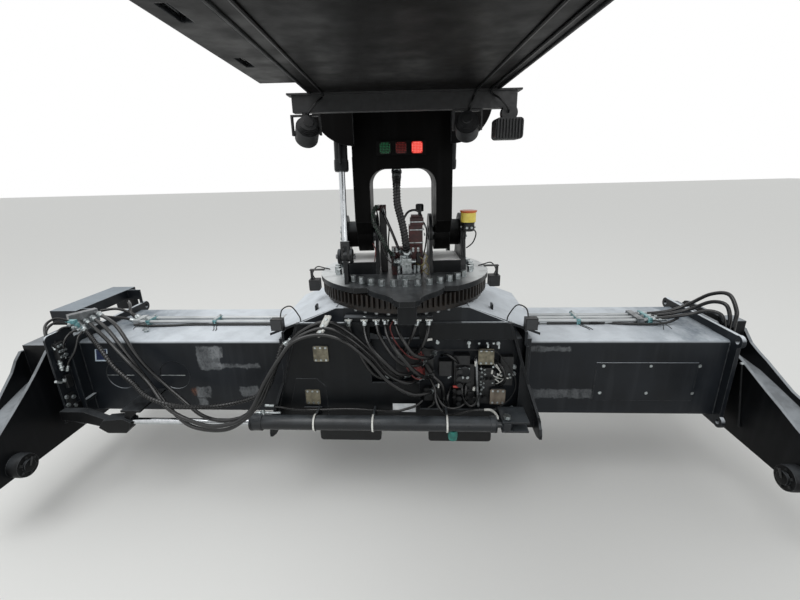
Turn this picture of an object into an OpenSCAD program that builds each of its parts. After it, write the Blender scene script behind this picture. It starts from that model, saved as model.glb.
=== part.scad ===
// Container spreader hung from the front section of a reach stacker's boom.
// The origin is the middle of the boom's tail flange. X runs along the spreader, to the right seen
// from the driver, Y runs forward along the boom and Z is up. Most modules work in the hang frame,
// whose origin is the middle of the tilt pins' axis.

/* [Boom] */
// Distance from the tail flange to the tilt pins' axis
head_reach = 4500; // [3500:10:6500]
// Height of the boom's middle line over the tilt pins' axis
head_drop = 1250; // [1150:10:1400]
// Half width of the boom's wide box
boom_half = 450; // [420:5:480]
// Height of the boom's wide box
boom_high = 800; // [700:10:900]
// Distance of the wide box's front end behind the tilt pins' axis
box_back = 1210; // [900:10:1400]
// Half width of the boom's nose
nose_half = 330; // [280:5:345]
// Width of the tray beside the boom
tray_wide = 145; // [100:5:160]
// Distance of the tray's front end behind the tilt pins' axis
tray_back = 1525; // [1450:5:1700]
// Height of the boom's nose
nose_high = 700; // [600:10:780]
// Half width of the tail flange
tail_half = 560; // [540:5:640]
// Height of the tail flange
tail_high = 1000; // [960:10:1200]
// Half width of the lamp bar under the boom
lamp_bar = 528; // [520:1:540]
// Thickness of the tail flange
tail_thick = 40; // [25:1:60]
// Radius of the tail flange's bolt holes
tail_hole = 16.5; // [10:0.5:20]
// Distance between the tail bolts across the boom
tail_bolt_x = 1040; // [1020:5:1060]
// Distance between the outer tail bolts in height
tail_bolt_z = 900; // [880:5:920]
// Distance between the inner tail bolts in height
tail_bolt_mid = 300; // [200:5:400]

/* [Head] */
// Half width over the head's legs
leg_out = 370; // [350:1:376]
// Half distance between the head's legs
leg_in = 250; // [248:1:280]
// Depth of the head in front of and behind the pins' axis
head_deep = 230; // [200:5:260]
// Radius of the leg's end round the pin
leg_round = 140; // [120:1:160]
// Height of the window's top over the pins' axis
window_top = 510; // [400:5:600]
// Radius of the tilt pins
pin_r = 60; // [45:1:70]
// Running clearance of pins in bores
pin_fit = 0.05; // [0.02:0.01:0.1]
// Distance of the wing plates in front of the pins' axis
wing_front = 420; // [400:5:450]
// Half width over the wing plates
wing_half = 610; // [605:5:650]
// Height of the wing plates' lower edge over the pins' axis
wing_low = 665; // [600:5:700]
// Thickness of the wing plates
wing_thick = 20; // [12:1:25]
// Radius of the wing plates' lower corner
wing_round = 270; // [240:5:280]

/* [Tilt cylinders] */
// Distance of the left tilt cylinder from the middle plane
tilt_left = 438; // [430:1:445]
// Distance of the right tilt cylinder from the middle plane
tilt_right = 427; // [422:1:430]
// Upper pin's distance before or behind the tilt axis
top_y = 240; // [200:5:280]
// Rod eye's distance before or behind the tilt axis
eye_y = 430; // [400:5:450]
// Rod eye's height under the tilt axis
eye_z = 100; // [80:5:130]
// Radius of the tilt cylinder's barrel
barrel_r = 47; // [42:1:52]
// Length of the tilt cylinder's barrel from the upper pin
barrel_long = 750; // [700:5:780]
// Radius of the tilt cylinder's rod
rod_r = 22.5; // [18:0.5:28]
// Reach of the left rod inside its barrel from the eye
rod_long_l = 800; // [780:5:850]
// Reach of the right rod inside its barrel from the eye
rod_long_r = 1060; // [1040:5:1080]
// Radius of the cylinder pins
small_pin = 20; // [16:1:24]

/* [Rotator] */
// Radius of the rotator's top plate
plate_r = 700; // [690:1:720]
// Distance of the plate's top under the tilt axis
plate_drop = 300; // [290:1:320]
// Thickness of the plate
plate_thick = 40; // [30:1:45]
// Distance of the plate's flat front edge
plate_front = 590; // [580:1:600]
// Reach of the plate's tongue
tongue_reach = 935; // [900:5:960]
// Half width of the tongue's tip
tongue_half = 85; // [70:1:100]
// Inner face of the outer ears
ear_gap = 455; // [452:1:456]
// Thickness of the outer ears
ear_thick = 40; // [36:1:42]
// Inner face of the inner ears
ear_in = 205; // [200:1:210]
// Thickness of the inner ears
ear_in_thick = 25; // [20:1:30]
// Radius of the ears round the pin
ear_r = 155; // [140:1:165]

/* [Slew gear] */
// Radius over the gear's teeth
gear_r = 688; // [670:1:695]
// Number of the gear's teeth
gear_teeth = 104; // [90:1:120]
// Height of the gear
gear_high = 90; // [80:1:95]
// Gap between the plate and the gear
gear_gap = 10; // [6:1:14]
// Inner radius of the gear ring
gear_bore = 560; // [550:1:570]

/* [Side-shift frame] */
// Turn of the spreader against the boom, as it hangs in the photo
slew_rest = -3.4; // [-8:0.1:8]
// Shift of the main beam along the spreader, as it hangs in the photo
shift_rest = -107; // [-200:1:200]
// Half length of the sleeve round the main beam
frame_half = 1000; // [980:10:1010]
// Half length of the frame's flat roof
roof_half = 500; // [490:5:520]
// Drop of the roof's slopes
roof_drop = 210; // [190:5:220]
// Distance of the frame's front from the middle plane
frame_front = 550; // [545:1:560]
// Half depth of the frame's roof
roof_deep = 510; // [500:1:520]
// Width of the slanted sides of the frame, from the front panel's top edge to their foot
side_slant = 230; // [210:5:240]
// Thickness of the sleeve's walls
sleeve_wall = 25; // [20:1:30]
// Depth of the wear pads' gap
pad_gap = 0.3; // [0.2:0.1:1]
// Width of the cover plates on the front panel
cover_wide = 120; // [100:5:130]
// Height of the cover plates on the front panel
cover_high = 135; // [110:5:145]
// Thickness of the frame's plates
frame_plate = 20; // [15:1:25]
// Sliding clearance between beams
slide_gap = 10; // [6:1:12]

/* [Main beam] */
// Half depth of the main beam
beam_deep = 410; // [380:5:415]
// Height of the main beam
beam_high = 662; // [620:1:680]
// Distance of the main beam's top under the tilt axis
beam_drop = 803; // [800:1:810]
// Wall of the main beam
beam_wall = 16; // [12:1:20]
// Thickness of the end flanges
flange_thick = 30; // [20:1:34]

/* [Arms] */
// Width of the end beams
end_wide = 285; // [280:1:290]
// Distance from the twistlocks to the end beams' outer side
lock_edge = 103.5; // [95:0.5:110]
// Gap between the main beam's flanges and the end beams
end_gap = 95; // [85:1:110]
// Half length of the end beams
end_half = 1220; // [1210:1:1225]
// Distance of the end beams' underside below the tilt axis
end_drop = 1590; // [1575:1:1600]
// Half distance between the twistlocks along the spreader
lock_x = 2926.5; // [2920:0.5:2930]
// Distance from the twistlocks to the end beams' ends
lock_inset = 90.5; // [85:0.5:95]
// Length of the inner beams kept free at the main beam's far end
inner_free = 300; // [250:10:500]

/* [Twistlocks] */
// Radius of the twistlock's shaft
lock_r = 24; // [20:1:28]
// Length of the twistlock's head
lock_long = 104; // [96:1:106]
// Width of the twistlock's head
lock_wide = 56; // [50:1:60]
// Depth of the corner seat below the end beam
seat_high = 20; // [10:1:30]
// Reach of the lever on top of the twistlock
lever_reach = 60; // [50:1:65]

/* [Side-shift cylinder] */
// Distance of the side-shift cylinder from the middle plane
shift_y = 720; // [700:5:740]
// Distance of the side-shift cylinder under the tilt axis
shift_drop = 1355; // [1340:5:1370]
// Radius of the side-shift barrel
shift_r = 57; // [50:1:62]
// Left end of the side-shift barrel
shift_left = 1190; // [1170:10:1200]
// Right end of the side-shift barrel
shift_right = 700; // [650:10:750]
// Distance of the rod's eye on the main beam from its middle
shift_eye = 2235; // [2220:5:2250]
// Radius of the side-shift rod
shift_rod_r = 25; // [20:1:30]

/* [Hoses] */
// Radius of the hoses
hose_r = 15; // [12:0.5:15.5]
// Radius of the thick hose at the boom's head
bundle_r = 29; // [24:1:32]
// Radius of the hoses on the rotator
valve_hose_r = 12; // [10:0.5:14]
// Radius of the steel pipes on the main beam
pipe_r = 16; // [12:0.5:18]

/* [Hidden] */
$fn = 96;
eps = 1;
web_out = lock_x + lock_edge;
web_in = web_out - end_wide;
beam_half = web_in - end_gap - flange_thick;
inner_long = web_in + beam_half - inner_free;
plate_low = plate_drop + plate_thick;
gear_top = plate_low + gear_gap;
gear_low = gear_top + gear_high;
rim_low = gear_low + 40;
beam_low = beam_drop + beam_high;
sleeve_y = beam_deep + slide_gap;
sleeve_top = beam_drop - slide_gap;
sleeve_low = beam_low + slide_gap;
inner_y = beam_deep - beam_wall - slide_gap;
inner_top = beam_drop + beam_wall + slide_gap;
inner_low = beam_low - beam_wall - slide_gap;
inner_gap = 6 + slide_gap;
tilt_len = sqrt(pow(eye_y - top_y, 2) + pow(head_drop + eye_z, 2));
tilt_lean = atan((eye_y - top_y) / (head_drop + eye_z));
box_low = head_drop - boom_high / 2;
box_top = head_drop + boom_high / 2;
frame_low = sleeve_low + sleeve_wall;
roof_low = rim_low + 120;
seat_top = end_drop + seat_high;
tunnel_top = 735;
side_out = frame_half + 40;
panel_top = side_out - side_slant;
lock_y = end_half - lock_inset;
lever_drop = 1250;
plate_raise = 6;
// top line of the end beams' inner web, as [y, z], from the front of the left one to its back
web_line = [[-end_half, -1330], [-1094, -1230], [-957, -1130], [-808, -1017], [-721, -944], [-634, -866], [-575, -812],
  [-525, -788], [40, -788], [110, -850], [200, -905], [350, -961], [459, -1007], [667, -1095], [791, -1142], [942, -1206],
  [1100, -1262], [end_half, -1320]];
// top line of the pale plate between the webs
core_line = [[-end_half, -1335], [-1060, -1285], [-833, -1190], [-746, -1159], [-652, -1125], [-562, -1096], [45, -1098],
  [107, -1100], [289, -1119], [475, -1163], [633, -1204], [850, -1255], [1060, -1290], [end_half, -1335]];
// the back part of the outer web's top line, which both end beams share
wing_back = [[-20, -853], [25, -859], [122, -945], [215, -988], [316, -1025], [414, -1069], [583, -1143], [760, -1185],
  [965, -1225], [1100, -1268], [end_half, -1330]];
wing_line_l = concat([[-end_half, -1330], [-1060, -1262], [-860, -1160], [-773, -1076], [-657, -965], [-600, -885],
  [-543, -832], [-400, -850]], wing_back);
wing_line_r = concat([[-end_half, -1330], [-1060, -1262], [-900, -1160], [-835, -980], [-815, -905], [-780, -870], [-740, -860]],
  wing_back);
// routes of the hoses that hang between the main beam's left end and the frame, in the swing frame
sag_hoses = [
  [[-2620, -250, -620], [-2370, -400, -670], [-2170, -500, -910], [-2010, -530, -1090],
    [-1800, -590, -1250], [-1620, -690, -1310], [-1440, -780, -1300], [-1310, -790, -1290],
    [-1200, -790, -1250], [-1080, -755, -1160], [-1000, -700, -980], [-890, -650, -780],
    [-760, -620, -640], [-560, -605, -560], [-400, -612, -640], [-220, -620, -810], [-120, -600, -960],
    [-40, -565, -1040], [30, -490, -1065]],
  [[-2660, -280, -640], [-2410, -440, -700], [-2210, -530, -910], [-2040, -580, -1130],
    [-1810, -720, -1275], [-1640, -800, -1340], [-1460, -825, -1360], [-1320, -840, -1335],
    [-1220, -835, -1280], [-1120, -810, -1190], [-1000, -745, -970], [-900, -695, -800],
    [-780, -660, -670], [-580, -630, -600], [-410, -650, -660], [-230, -655, -820], [-110, -645, -980],
    [40, -610, -1070], [140, -490, -1085]],
  [[-2700, -310, -660], [-2430, -470, -750], [-2220, -570, -890], [-2040, -620, -1070],
    [-1840, -750, -1205], [-1640, -815, -1275], [-1450, -870, -1290], [-1300, -880, -1270],
    [-1200, -880, -1230], [-1110, -855, -1150], [-1010, -790, -960], [-900, -740, -800],
    [-790, -700, -680], [-610, -665, -640], [-420, -690, -680], [-250, -695, -830], [-110, -685, -1010],
    [60, -650, -1140], [190, -570, -1180], [240, -490, -1190]],
  [[-2680, -380, -690], [-2440, -540, -800], [-2290, -620, -930], [-2120, -680, -1040],
    [-1960, -780, -1090], [-1800, -805, -1140], [-1660, -760, -1200], [-1510, -670, -1250],
    [-1360, -620, -1250], [-1200, -620, -1200], [-1070, -620, -1110], [-1010, -600, -980],
    [-965, -590, -860], [-935, -560, -780], [-893, -520, -755]]];
// routes of the hoses that come down over the front panel, in the swing frame
drop_hoses = [
  [[-400, -570, -558], [-395, -570, -640], [-330, -568, -840], [-250, -568, -990], [-180, -540, -1060],
    [-110, -490, -1070]],
  [[-280, -570, -558], [-270, -630, -640], [-230, -700, -710], [-130, -730, -820], [-30, -690, -940],
    [60, -600, -990], [95, -490, -1000]],
  [[-190, -570, -558], [-170, -640, -630], [-120, -680, -720], [-50, -700, -810], [30, -660, -890],
    [130, -570, -930], [160, -490, -940]],
  [[-120, -575, -558], [-110, -660, -620], [-60, -730, -700], [10, -750, -790], [100, -710, -920],
    [190, -600, -1030], [220, -490, -1050]],
  [[-40, -570, -558], [-30, -640, -610], [20, -690, -690], [90, -690, -790], [200, -600, -860],
    [240, -490, -880]],
  [[120, -570, -558], [90, -610, -640], [40, -600, -750], [0, -560, -850], [-20, -490, -890]],
  [[200, -570, -558], [190, -630, -640], [160, -640, -720], [120, -600, -800], [70, -550, -850],
    [40, -490, -860]]];
// routes of the hose loops at the main beam's right end, in the beam's frame
loop_hoses = [
  [[2190, 90, -765], [2400, 70, -735], [2550, 40, -660], [2640, -60, -540], [2690, -190, -500], [2700, -290, -600],
    [2697, -306, -690], [2697, -310, -830]],
  [[2190, 20, -765], [2390, 10, -735], [2540, -20, -680], [2620, -110, -590], [2675, -200, -580], [2692, -250, -660],
    [2695, -260, -740], [2697, -262, -830]],
  [[2190, -50, -765], [2380, -60, -735], [2510, -80, -705], [2600, -130, -660], [2665, -190, -670], [2690, -212, -740],
    [2697, -215, -830]]];
// route of the thick hose from the boom's head to the manifold, in the hang frame
head_hoses = [[[-46, -140, 478], [-47, -190, 440], [-48, -285, 404], [-48, -308, 340], [-46, -316, 262], [-30, -328, 190], [-14, -342, 125], [0, -352, 50],
  [10, -352, -30], [18, -322, -92], [20, -258, -115]]];
// routes of the two hoses from the rotator's tall valve to the manifold, in the hang frame
valve_hoses = [
  [[-205, -112, 226], [-220, -180, 222], [-230, -258, 190], [-226, -314, 140], [-200, -335, 71], [-168, -340, 12], [-141, -335, -48],
    [-114, -305, -100], [-80, -258, -135]],
  [[-165, -112, 204], [-150, -170, 168], [-103, -232, 66], [-72, -272, -7], [-50, -292, -64], [-30, -258, -112]]];

// Moves the hang frame to its place under the boom's head.
module hang() { translate([0, head_reach, -head_drop]) children(); }

// Turns the spreader's own frame against the hang frame.
module swing() { hang() rotate([0, 0, slew_rest]) children(); }

// Moves the main beam's own frame along the spreader.
module spread() { swing() translate([shift_rest, 0, 0]) children(); }

// A box given by its two corners.
module slab(low, high) { translate(low) cube([high[0] - low[0], high[1] - low[1], high[2] - low[2]]); }

// A rod along X between two stations.
module rod_x(from, to, r, y = 0, z = 0) { translate([from, y, z]) rotate([0, 90, 0]) cylinder(h = to - from, r = r); }

// A profile in the YZ plane, drawn as [y, z], pushed along X between two stations.
module side_plate(from, to) { translate([from, 0, 0]) rotate([90, 0, 90]) linear_extrude(to - from) children(); }

// A profile in the XZ plane, drawn as [x, z], pushed along Y between two stations.
module front_plate(from, to) { translate([0, to, 0]) rotate([90, 0, 0]) linear_extrude(to - from) children(); }

// A flat plate with round corners.
module round_rect(wide, high, r) {
  union() {
    square([wide - 2 * r, high], center = true);
    square([wide, high - 2 * r], center = true);
    for (x = [-1, 1]) for (y = [-1, 1]) translate([x * (wide / 2 - r), y * (high / 2 - r)]) circle(r = r, $fn = 48);
  }
}

// A cylinder between two points.
module bar(from, to, r) {
  way = to - from;
  translate(from) rotate([0, acos(way[2] / norm(way)), atan2(way[1], way[0])]) cylinder(h = norm(way), r = r, $fn = 32);
}

// A point on the smooth curve through the points p, part t of the way from point i to the next.
function curve(p, i, t) = let (a = p[max(i - 1, 0)], b = p[i], c = p[i + 1], d = p[min(i + 2, len(p) - 1)])
  0.5 * (2 * b + (c - a) * t + (2 * a - 5 * b + 4 * c - d) * t * t + (3 * b - a - 3 * c + d) * t * t * t);
function smooth(p, n) = concat([for (i = [0:len(p) - 2]) for (k = [0:n - 1]) curve(p, i, k / n)], [p[len(p) - 1]]);
function unit(v) = v / norm(v);
function route_end(p) = p[len(p) - 1];
function end_way(p) = let (q = smooth(p, 2)) unit(q[len(q) - 1] - q[len(q) - 2]);
function start_way(p) = let (q = smooth(p, 2)) unit(q[1] - q[0]);

// A hose along the points p.
module hose(p, r, sides = 8) {
  q = smooth(p, 2);
  last = len(q) - 1;
  rings = [for (i = [0:last]) let (way = unit(q[min(i + 1, last)] - q[max(i - 1, 0)]), a = unit(cross(way, [0, 1, 0])), b = cross(a, way))
    for (k = [0:sides - 1]) q[i] + r * (cos(360 * k / sides) * a + sin(360 * k / sides) * b)];
  polyhedron(rings, concat([[for (k = [sides - 1:-1:0]) k]], [[for (k = [0:sides - 1]) last * sides + k]],
    [for (i = [0:last - 1]) for (k = [0:sides - 1]) [i * sides + k, i * sides + (k + 1) % sides, (i + 1) * sides + k]],
    [for (i = [0:last - 1]) for (k = [0:sides - 1]) [i * sides + (k + 1) % sides, (i + 1) * sides + (k + 1) % sides, (i + 1) * sides + k]]));
}

// Both sides of the middle plane X = 0.
module both_x() { children(); mirror([1, 0, 0]) children(); }

// Both sides of the middle plane Y = 0.
module both_y() { children(); mirror([0, 1, 0]) children(); }

module boom_section() {
  color([0.09, 0.09, 0.1]) {
    difference() {
      union() {
        slab([-boom_half, tail_thick - eps, -boom_high / 2], [boom_half, head_reach - box_back, boom_high / 2]);
        slab([-tail_half, 0, -tail_high / 2], [tail_half, tail_thick, tail_high / 2]);
        slab([-nose_half, head_reach - box_back - eps, -nose_high / 2], [nose_half, head_reach - head_deep, nose_high / 2]);
      }
      for (x = [-1, 1]) for (z = [-tail_bolt_z, -tail_bolt_mid, tail_bolt_mid, tail_bolt_z])
        translate([x * tail_bolt_x / 2, -eps, z / 2]) rotate([-90, 0, 0]) cylinder(h = tail_thick + 2 * eps, r = tail_hole, $fn = 36);
    }
  }
}

module head_side() {
  union() {
    polygon([[-head_deep, 120], [-head_deep, head_drop + 260], [-head_deep + 90, head_drop + 350],
      [head_deep - 60, head_drop + 350], [head_deep + 20, head_drop + 240], [head_deep + 20, 620], [head_deep - 30, 120],
      [leg_round * 0.9, 0], [-leg_round * 0.9, 0]]);
    circle(r = leg_round);
  }
}

module boom_head() {
  color([0.08, 0.08, 0.09]) hang() {
    difference() {
      union() {
        side_plate(-leg_out, leg_out) head_side();
        both_x() rod_x(leg_out - eps, ear_gap - 5, 105);
      }
      // the arched window between the legs
      front_plate(-head_deep - 40, head_deep + 60) union() {
        translate([0, (window_top - 120 - leg_round - 30) / 2]) square([2 * leg_in, window_top - 120 + leg_round + 30], center = true);
        translate([0, window_top - 60]) square([2 * leg_in - 240, 120], center = true);
        for (x = [-1, 1]) translate([x * (leg_in - 120), window_top - 120]) circle(r = 120);
      }
      both_x() rod_x(leg_in - 10, ear_gap, pin_r + pin_fit);
    }
    for (p = head_hoses) ferrule(p, 24, bundle_r + 5);
    both_x() {
      // the wing plate that faces the driver
      front_plate(-wing_front, -wing_front + wing_thick) intersection() {
        translate([nose_half, wing_low]) square([wing_half - nose_half, head_drop + 200 - wing_low]);
        union() {
          translate([0, wing_low + wing_round]) square([wing_half, head_drop + 200 - wing_low - wing_round]);
          translate([wing_half - wing_round, wing_low + wing_round]) circle(r = wing_round);
        }
      }
      // the side plate that carries the cylinders' upper pins
      difference() {
        side_plate(wing_half - wing_thick, wing_half)
          polygon([[-wing_front, wing_low + wing_round], [-wing_front, head_drop + 200], [360, head_drop + 200], [360, head_drop - 160]]);
        rod_x(wing_half - 40, wing_half + 20, small_pin + pin_fit, -top_y, head_drop);
        rod_x(wing_half - 40, wing_half + 20, small_pin + pin_fit, top_y, head_drop);
      }
      slab([leg_out - eps, -wing_front + wing_thick - eps, head_drop + 180], [wing_half - eps, 360, head_drop + 200]);
    }
  }
}

module boom_tray() {
  color([0.1, 0.1, 0.11]) hang() difference() {
    union() {
      slab([-boom_half - tray_wide, -head_reach + 300, box_low], [-boom_half, -tray_back, box_low + 12]);
      slab([-boom_half - tray_wide, -head_reach + 300, box_low], [-boom_half - tray_wide + 8, -tray_back, box_low + 120]);
    }
    for (y = [-3700, -3200, -2700, -2290, -1850])
      slab([-boom_half - tray_wide + 40, y - 60, box_low - eps], [-boom_half - tray_wide + 70, y + 60, box_low + 13]);
  }
}

// A round lamp in its yoke, tipped by the given angles.
module round_lamp(x, z, tip, turn) {
  translate([x, -box_back - 60, z]) rotate([tip, 0, turn]) translate([0, 0, -42]) cylinder(h = 84, r = 56);
  both = 66;
  for (s = [-1, 1]) translate([x + s * both, 0, 0]) slab([-4, -box_back - 76, z - 14], [4, -box_back - 48, z + 78]);
  slab([x - both - 4, -box_back - 76, z + 70], [x + both + 4, -box_back - 48, z + 78]);
  rod_x(x - both, x + both, 10, -box_back - 60, z);
  translate([x, -box_back - 62, z + 76]) cylinder(h = 25, r = 16, $fn = 32);
}

module boom_lamps() {
  bar_low = box_low - 82;
  color([0.15, 0.15, 0.16]) hang() {
    // the bar is a channel with its back to the driver
    slab([-lamp_bar, -box_back - 80, bar_low], [lamp_bar, -box_back - 72, box_low]);
    slab([-lamp_bar, -box_back - 80, bar_low], [lamp_bar, -box_back - 30, bar_low + 8]);
    slab([-lamp_bar - 20, -box_back - 92, box_low - 8], [lamp_bar + 20, -box_back - 20, box_low]);
    // the square lamp at the right, hung from a round mount
    front_plate(-box_back - 105, -box_back - 15) translate([493, 676]) round_rect(132, 96, 18);
    translate([495, -box_back - 46, bar_low - 22]) rotate([90, 0, 0]) cylinder(h = 40, r = 38);
    round_lamp(-472, 682, 58, 20);
    round_lamp(299, 688, 64, -10);
  }
}

module signal_lamps() {
  color([0.12, 0.12, 0.12]) hang() {
    slab([-190, -head_deep - 22, 605], [172, -head_deep, 703]);
    for (x = [-125, -9, 107]) front_plate(-head_deep - 40, -head_deep - 21) translate([x, 654]) round_rect(88, 88, 30);
  }
}

module tilt_pins() {
  color([0.5, 0.5, 0.52]) hang() both_x() {
    rod_x(ear_in - 8, ear_gap + ear_thick + 4, pin_r);
  }
}

// Outline of the tongue's shoulder, from the flat front edge out to the tip.
function shoulder(t) = [tongue_half + (plate_front * 0.47 - tongue_half) * (1 + cos(180 * t)) / 2,
  -plate_front - (tongue_reach - plate_front - 40) * t];

module plate_shape() {
  union() {
    intersection() {
      circle(r = plate_r, $fn = 180);
      translate([-plate_r, -plate_front]) square([2 * plate_r, plate_front + plate_r]);
    }
    polygon(concat([[-plate_front * 0.47, -plate_front + 10], [plate_front * 0.47, -plate_front + 10]],
      [for (i = [0:8]) shoulder(i / 8)], [[tongue_half * 0.6, -tongue_reach], [-tongue_half * 0.6, -tongue_reach]],
      [for (i = [8:-1:0]) [-shoulder(i / 8)[0], shoulder(i / 8)[1]]]));
  }
}

module ear_side() {
  union() {
    circle(r = ear_r);
    polygon([[-210, -plate_drop], [210, -plate_drop], [200, -plate_drop + 60], [ear_r * 0.92, -20], [-ear_r * 0.92, -20], [-200, -plate_drop + 60]]);
  }
}

module lug(x, y) {
  difference() {
    side_plate(x - 14, x + 14) union() {
      translate([y, -eye_z]) circle(r = 42);
      polygon([[y - 62, -plate_drop - 2], [y + 62, -plate_drop - 2], [y + 30, -eye_z - 20], [y - 30, -eye_z - 20]]);
    }
    rod_x(x - 80, x + 80, small_pin + pin_fit, y, -eye_z);
  }
}

module rotator_plate() {
  color([0.1, 0.1, 0.11]) hang() {
    translate([0, 0, -plate_low]) linear_extrude(plate_thick) plate_shape();
    difference() {
      both_x() {
        side_plate(ear_gap, ear_gap + ear_thick) ear_side();
        side_plate(ear_in, ear_in + ear_in_thick) ear_side();
        slab([ear_in + ear_in_thick - eps, -200, -plate_drop - eps], [ear_gap + eps, 200, -plate_drop + 100]);
      }
      both_x() rod_x(ear_in - 10, ear_gap + ear_thick + 10, pin_r + pin_fit);
    }
    lug(tilt_right, eye_y);
    lug(-tilt_left, -eye_y);
  }
}

module rotator_lamps() {
  color([0.15, 0.15, 0.16]) hang() both_x() {
    slab([plate_r - 15, -20, -plate_drop], [plate_r + 110, 20, -plate_drop + 8]);
    slab([plate_r + 90, -15, -plate_drop - 80], [plate_r + 106, 15, -plate_drop + 4]);
    slab([plate_r + 30, -45, -plate_drop - 168], [plate_r + 120, 45, -plate_drop - 79]);
  }
}

module slew_ring() {
  color([0.3, 0.3, 0.31]) hang() translate([0, 0, -gear_low + 10]) difference() {
    cylinder(h = gear_low - plate_low - 10, r = gear_bore - pad_gap, $fn = 180);
    translate([0, 0, -eps]) cylinder(h = gear_low, r = gear_bore - 90, $fn = 120);
  }
}

module valve_block() {
  color([0.45, 0.45, 0.46]) hang() {
    slab([-60, -395, -plate_drop], [120, -245, -plate_drop + 40]);
    slab([-20, -380, -plate_drop + 39], [50, -300, -plate_drop + 160]);
    for (x = [-45, 75, 105]) translate([x, -340, -plate_drop + 39]) cylinder(h = 60, r = 13, $fn = 32);
  }
}

module manifold() {
  color([0.35, 0.08, 0.06]) hang() {
    translate([0, 0, -plate_drop]) cylinder(h = 120, r = 110);
    slab([40, -165, -plate_drop], [150, -60, -plate_drop + 380]);
    slab([-100, -225, -plate_drop], [130, -164, -plate_drop + 220]);
    // the tall valve with a crosspiece on top
    slab([-190, -95, -plate_drop], [-140, -25, 200]);
    rod_x(-228, -138, 24, -60, 215);
    for (p = valve_hoses) ferrule(p, 40, 16);
    for (p = head_hoses) port(p, 40, bundle_r + 3);
    for (p = valve_hoses) port(p, 40, 16);
  }
}

module lubricator() {
  color([0.8, 0.6, 0.1]) hang() {
    slab([ear_gap + ear_thick, -190, 60], [ear_gap + ear_thick + 12, -110, 108]);
    slab([ear_gap + 4, -245, 96], [ear_gap + 54, -165, 108]);
    translate([ear_gap + 45, -225, 107]) cylinder(h = 78, r = 58);
    translate([ear_gap + 45, -225, 40]) cylinder(h = 57, r = 46);
  }
}

module pinion_guard() {
  color([0.12, 0.12, 0.13]) hang() slab([-63, -905, -rim_low + 10], [63, -705, -plate_low]);
}

module tilt_barrel(side) {
  difference() {
    union() {
      translate([0, 0, -barrel_long]) cylinder(h = barrel_long - 30, r = barrel_r);
      translate([0, 0, -barrel_long]) cylinder(h = 70, r = barrel_r + 4);
      rod_x(-50, 50, 50);
    }
    translate([0, 0, -barrel_long - 2]) cylinder(h = 72, r = rod_r + pin_fit);
    translate([0, 0, -barrel_long + 60]) cylinder(h = barrel_long - 130, r = barrel_r - 8);
    rod_x(-80, 80, small_pin + pin_fit);
  }
  rod_x(-51, wing_half - side, small_pin);
}

// Puts the cylinder's own frame, origin at the upper pin and rod down, at its place on side s.
module tilt_place(s) {
  hang() translate([s > 0 ? tilt_right : -tilt_left, s * top_y, head_drop]) rotate([s * tilt_lean, 0, 0]) children();
}

module tilt_rod(reach) {
  difference() {
    union() {
      translate([0, 0, -tilt_len + 80]) cylinder(h = reach - 80, r = rod_r);
      translate([0, 0, -tilt_len + reach - 40]) cylinder(h = 40, r = barrel_r - 8 - pin_fit);
      // the fork round the lug
      translate([0, 0, -tilt_len + 76]) slab([-32, -34, 0], [32, 34, 36]);
      for (s = [-1, 1]) translate([0, 0, -tilt_len]) union() {
        rod_x(s * 23.5 - 8.5, s * 23.5 + 8.5, 38);
        slab([s * 23.5 - 8.5, -34, 0], [s * 23.5 + 8.5, 34, 77]);
      }
    }
    translate([0, 0, -tilt_len]) rod_x(-50, 50, small_pin + pin_fit);
  }
}

module tilt_barrel_l() { color([0.1, 0.1, 0.1]) tilt_place(-1) mirror([1, 0, 0]) tilt_barrel(tilt_left); }
module tilt_barrel_r() { color([0.1, 0.1, 0.1]) tilt_place(1) tilt_barrel(tilt_right); }
module tilt_rod_l() { color([0.75, 0.76, 0.78]) tilt_place(-1) tilt_rod(rod_long_l); }
module tilt_rod_r() { color([0.75, 0.76, 0.78]) tilt_place(1) tilt_rod(rod_long_r); }

module slew_gear() {
  pitch = 360 / gear_teeth;
  root = gear_r - 22;
  color([0.25, 0.25, 0.26]) swing() {
    difference() {
      union() {
        translate([0, 0, -gear_low]) linear_extrude(gear_high) polygon([for (i = [0:gear_teeth - 1])
          for (k = [[root, -0.32], [gear_r, -0.16], [gear_r, 0.16], [root, 0.32]])
            [k[0] * cos((i + k[1]) * pitch), k[0] * sin((i + k[1]) * pitch)]]);
        translate([0, 0, -rim_low]) cylinder(h = 40 + eps, r = root - 6, $fn = 180);
      }
      translate([0, 0, -rim_low - eps]) cylinder(h = 200, r = gear_bore, $fn = 180);
    }
  }
}

// The roof's line, from the middle out, "under" below its top face and "thick" deep.
module roof_line(under, thick) {
  polygon([[-side_out, -rim_low - roof_drop - under], [-roof_half, -rim_low - under], [roof_half, -rim_low - under],
    [side_out, -rim_low - roof_drop - under], [side_out, -rim_low - roof_drop - under - thick],
    [roof_half, -rim_low - under - thick], [-roof_half, -rim_low - under - thick],
    [-side_out, -rim_low - roof_drop - under - thick]]);
}

// Outline of the front panel, from its narrow top down to the wide foot, "edge" in from the outside.
module panel_line(edge) {
  polygon([[-panel_top + edge, -roof_low], [panel_top - edge, -roof_low], [side_out - edge, -shift_drop - 15],
    [side_out - edge, -frame_low], [-side_out + edge, -frame_low], [-side_out + edge, -shift_drop - 15]]);
}

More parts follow.
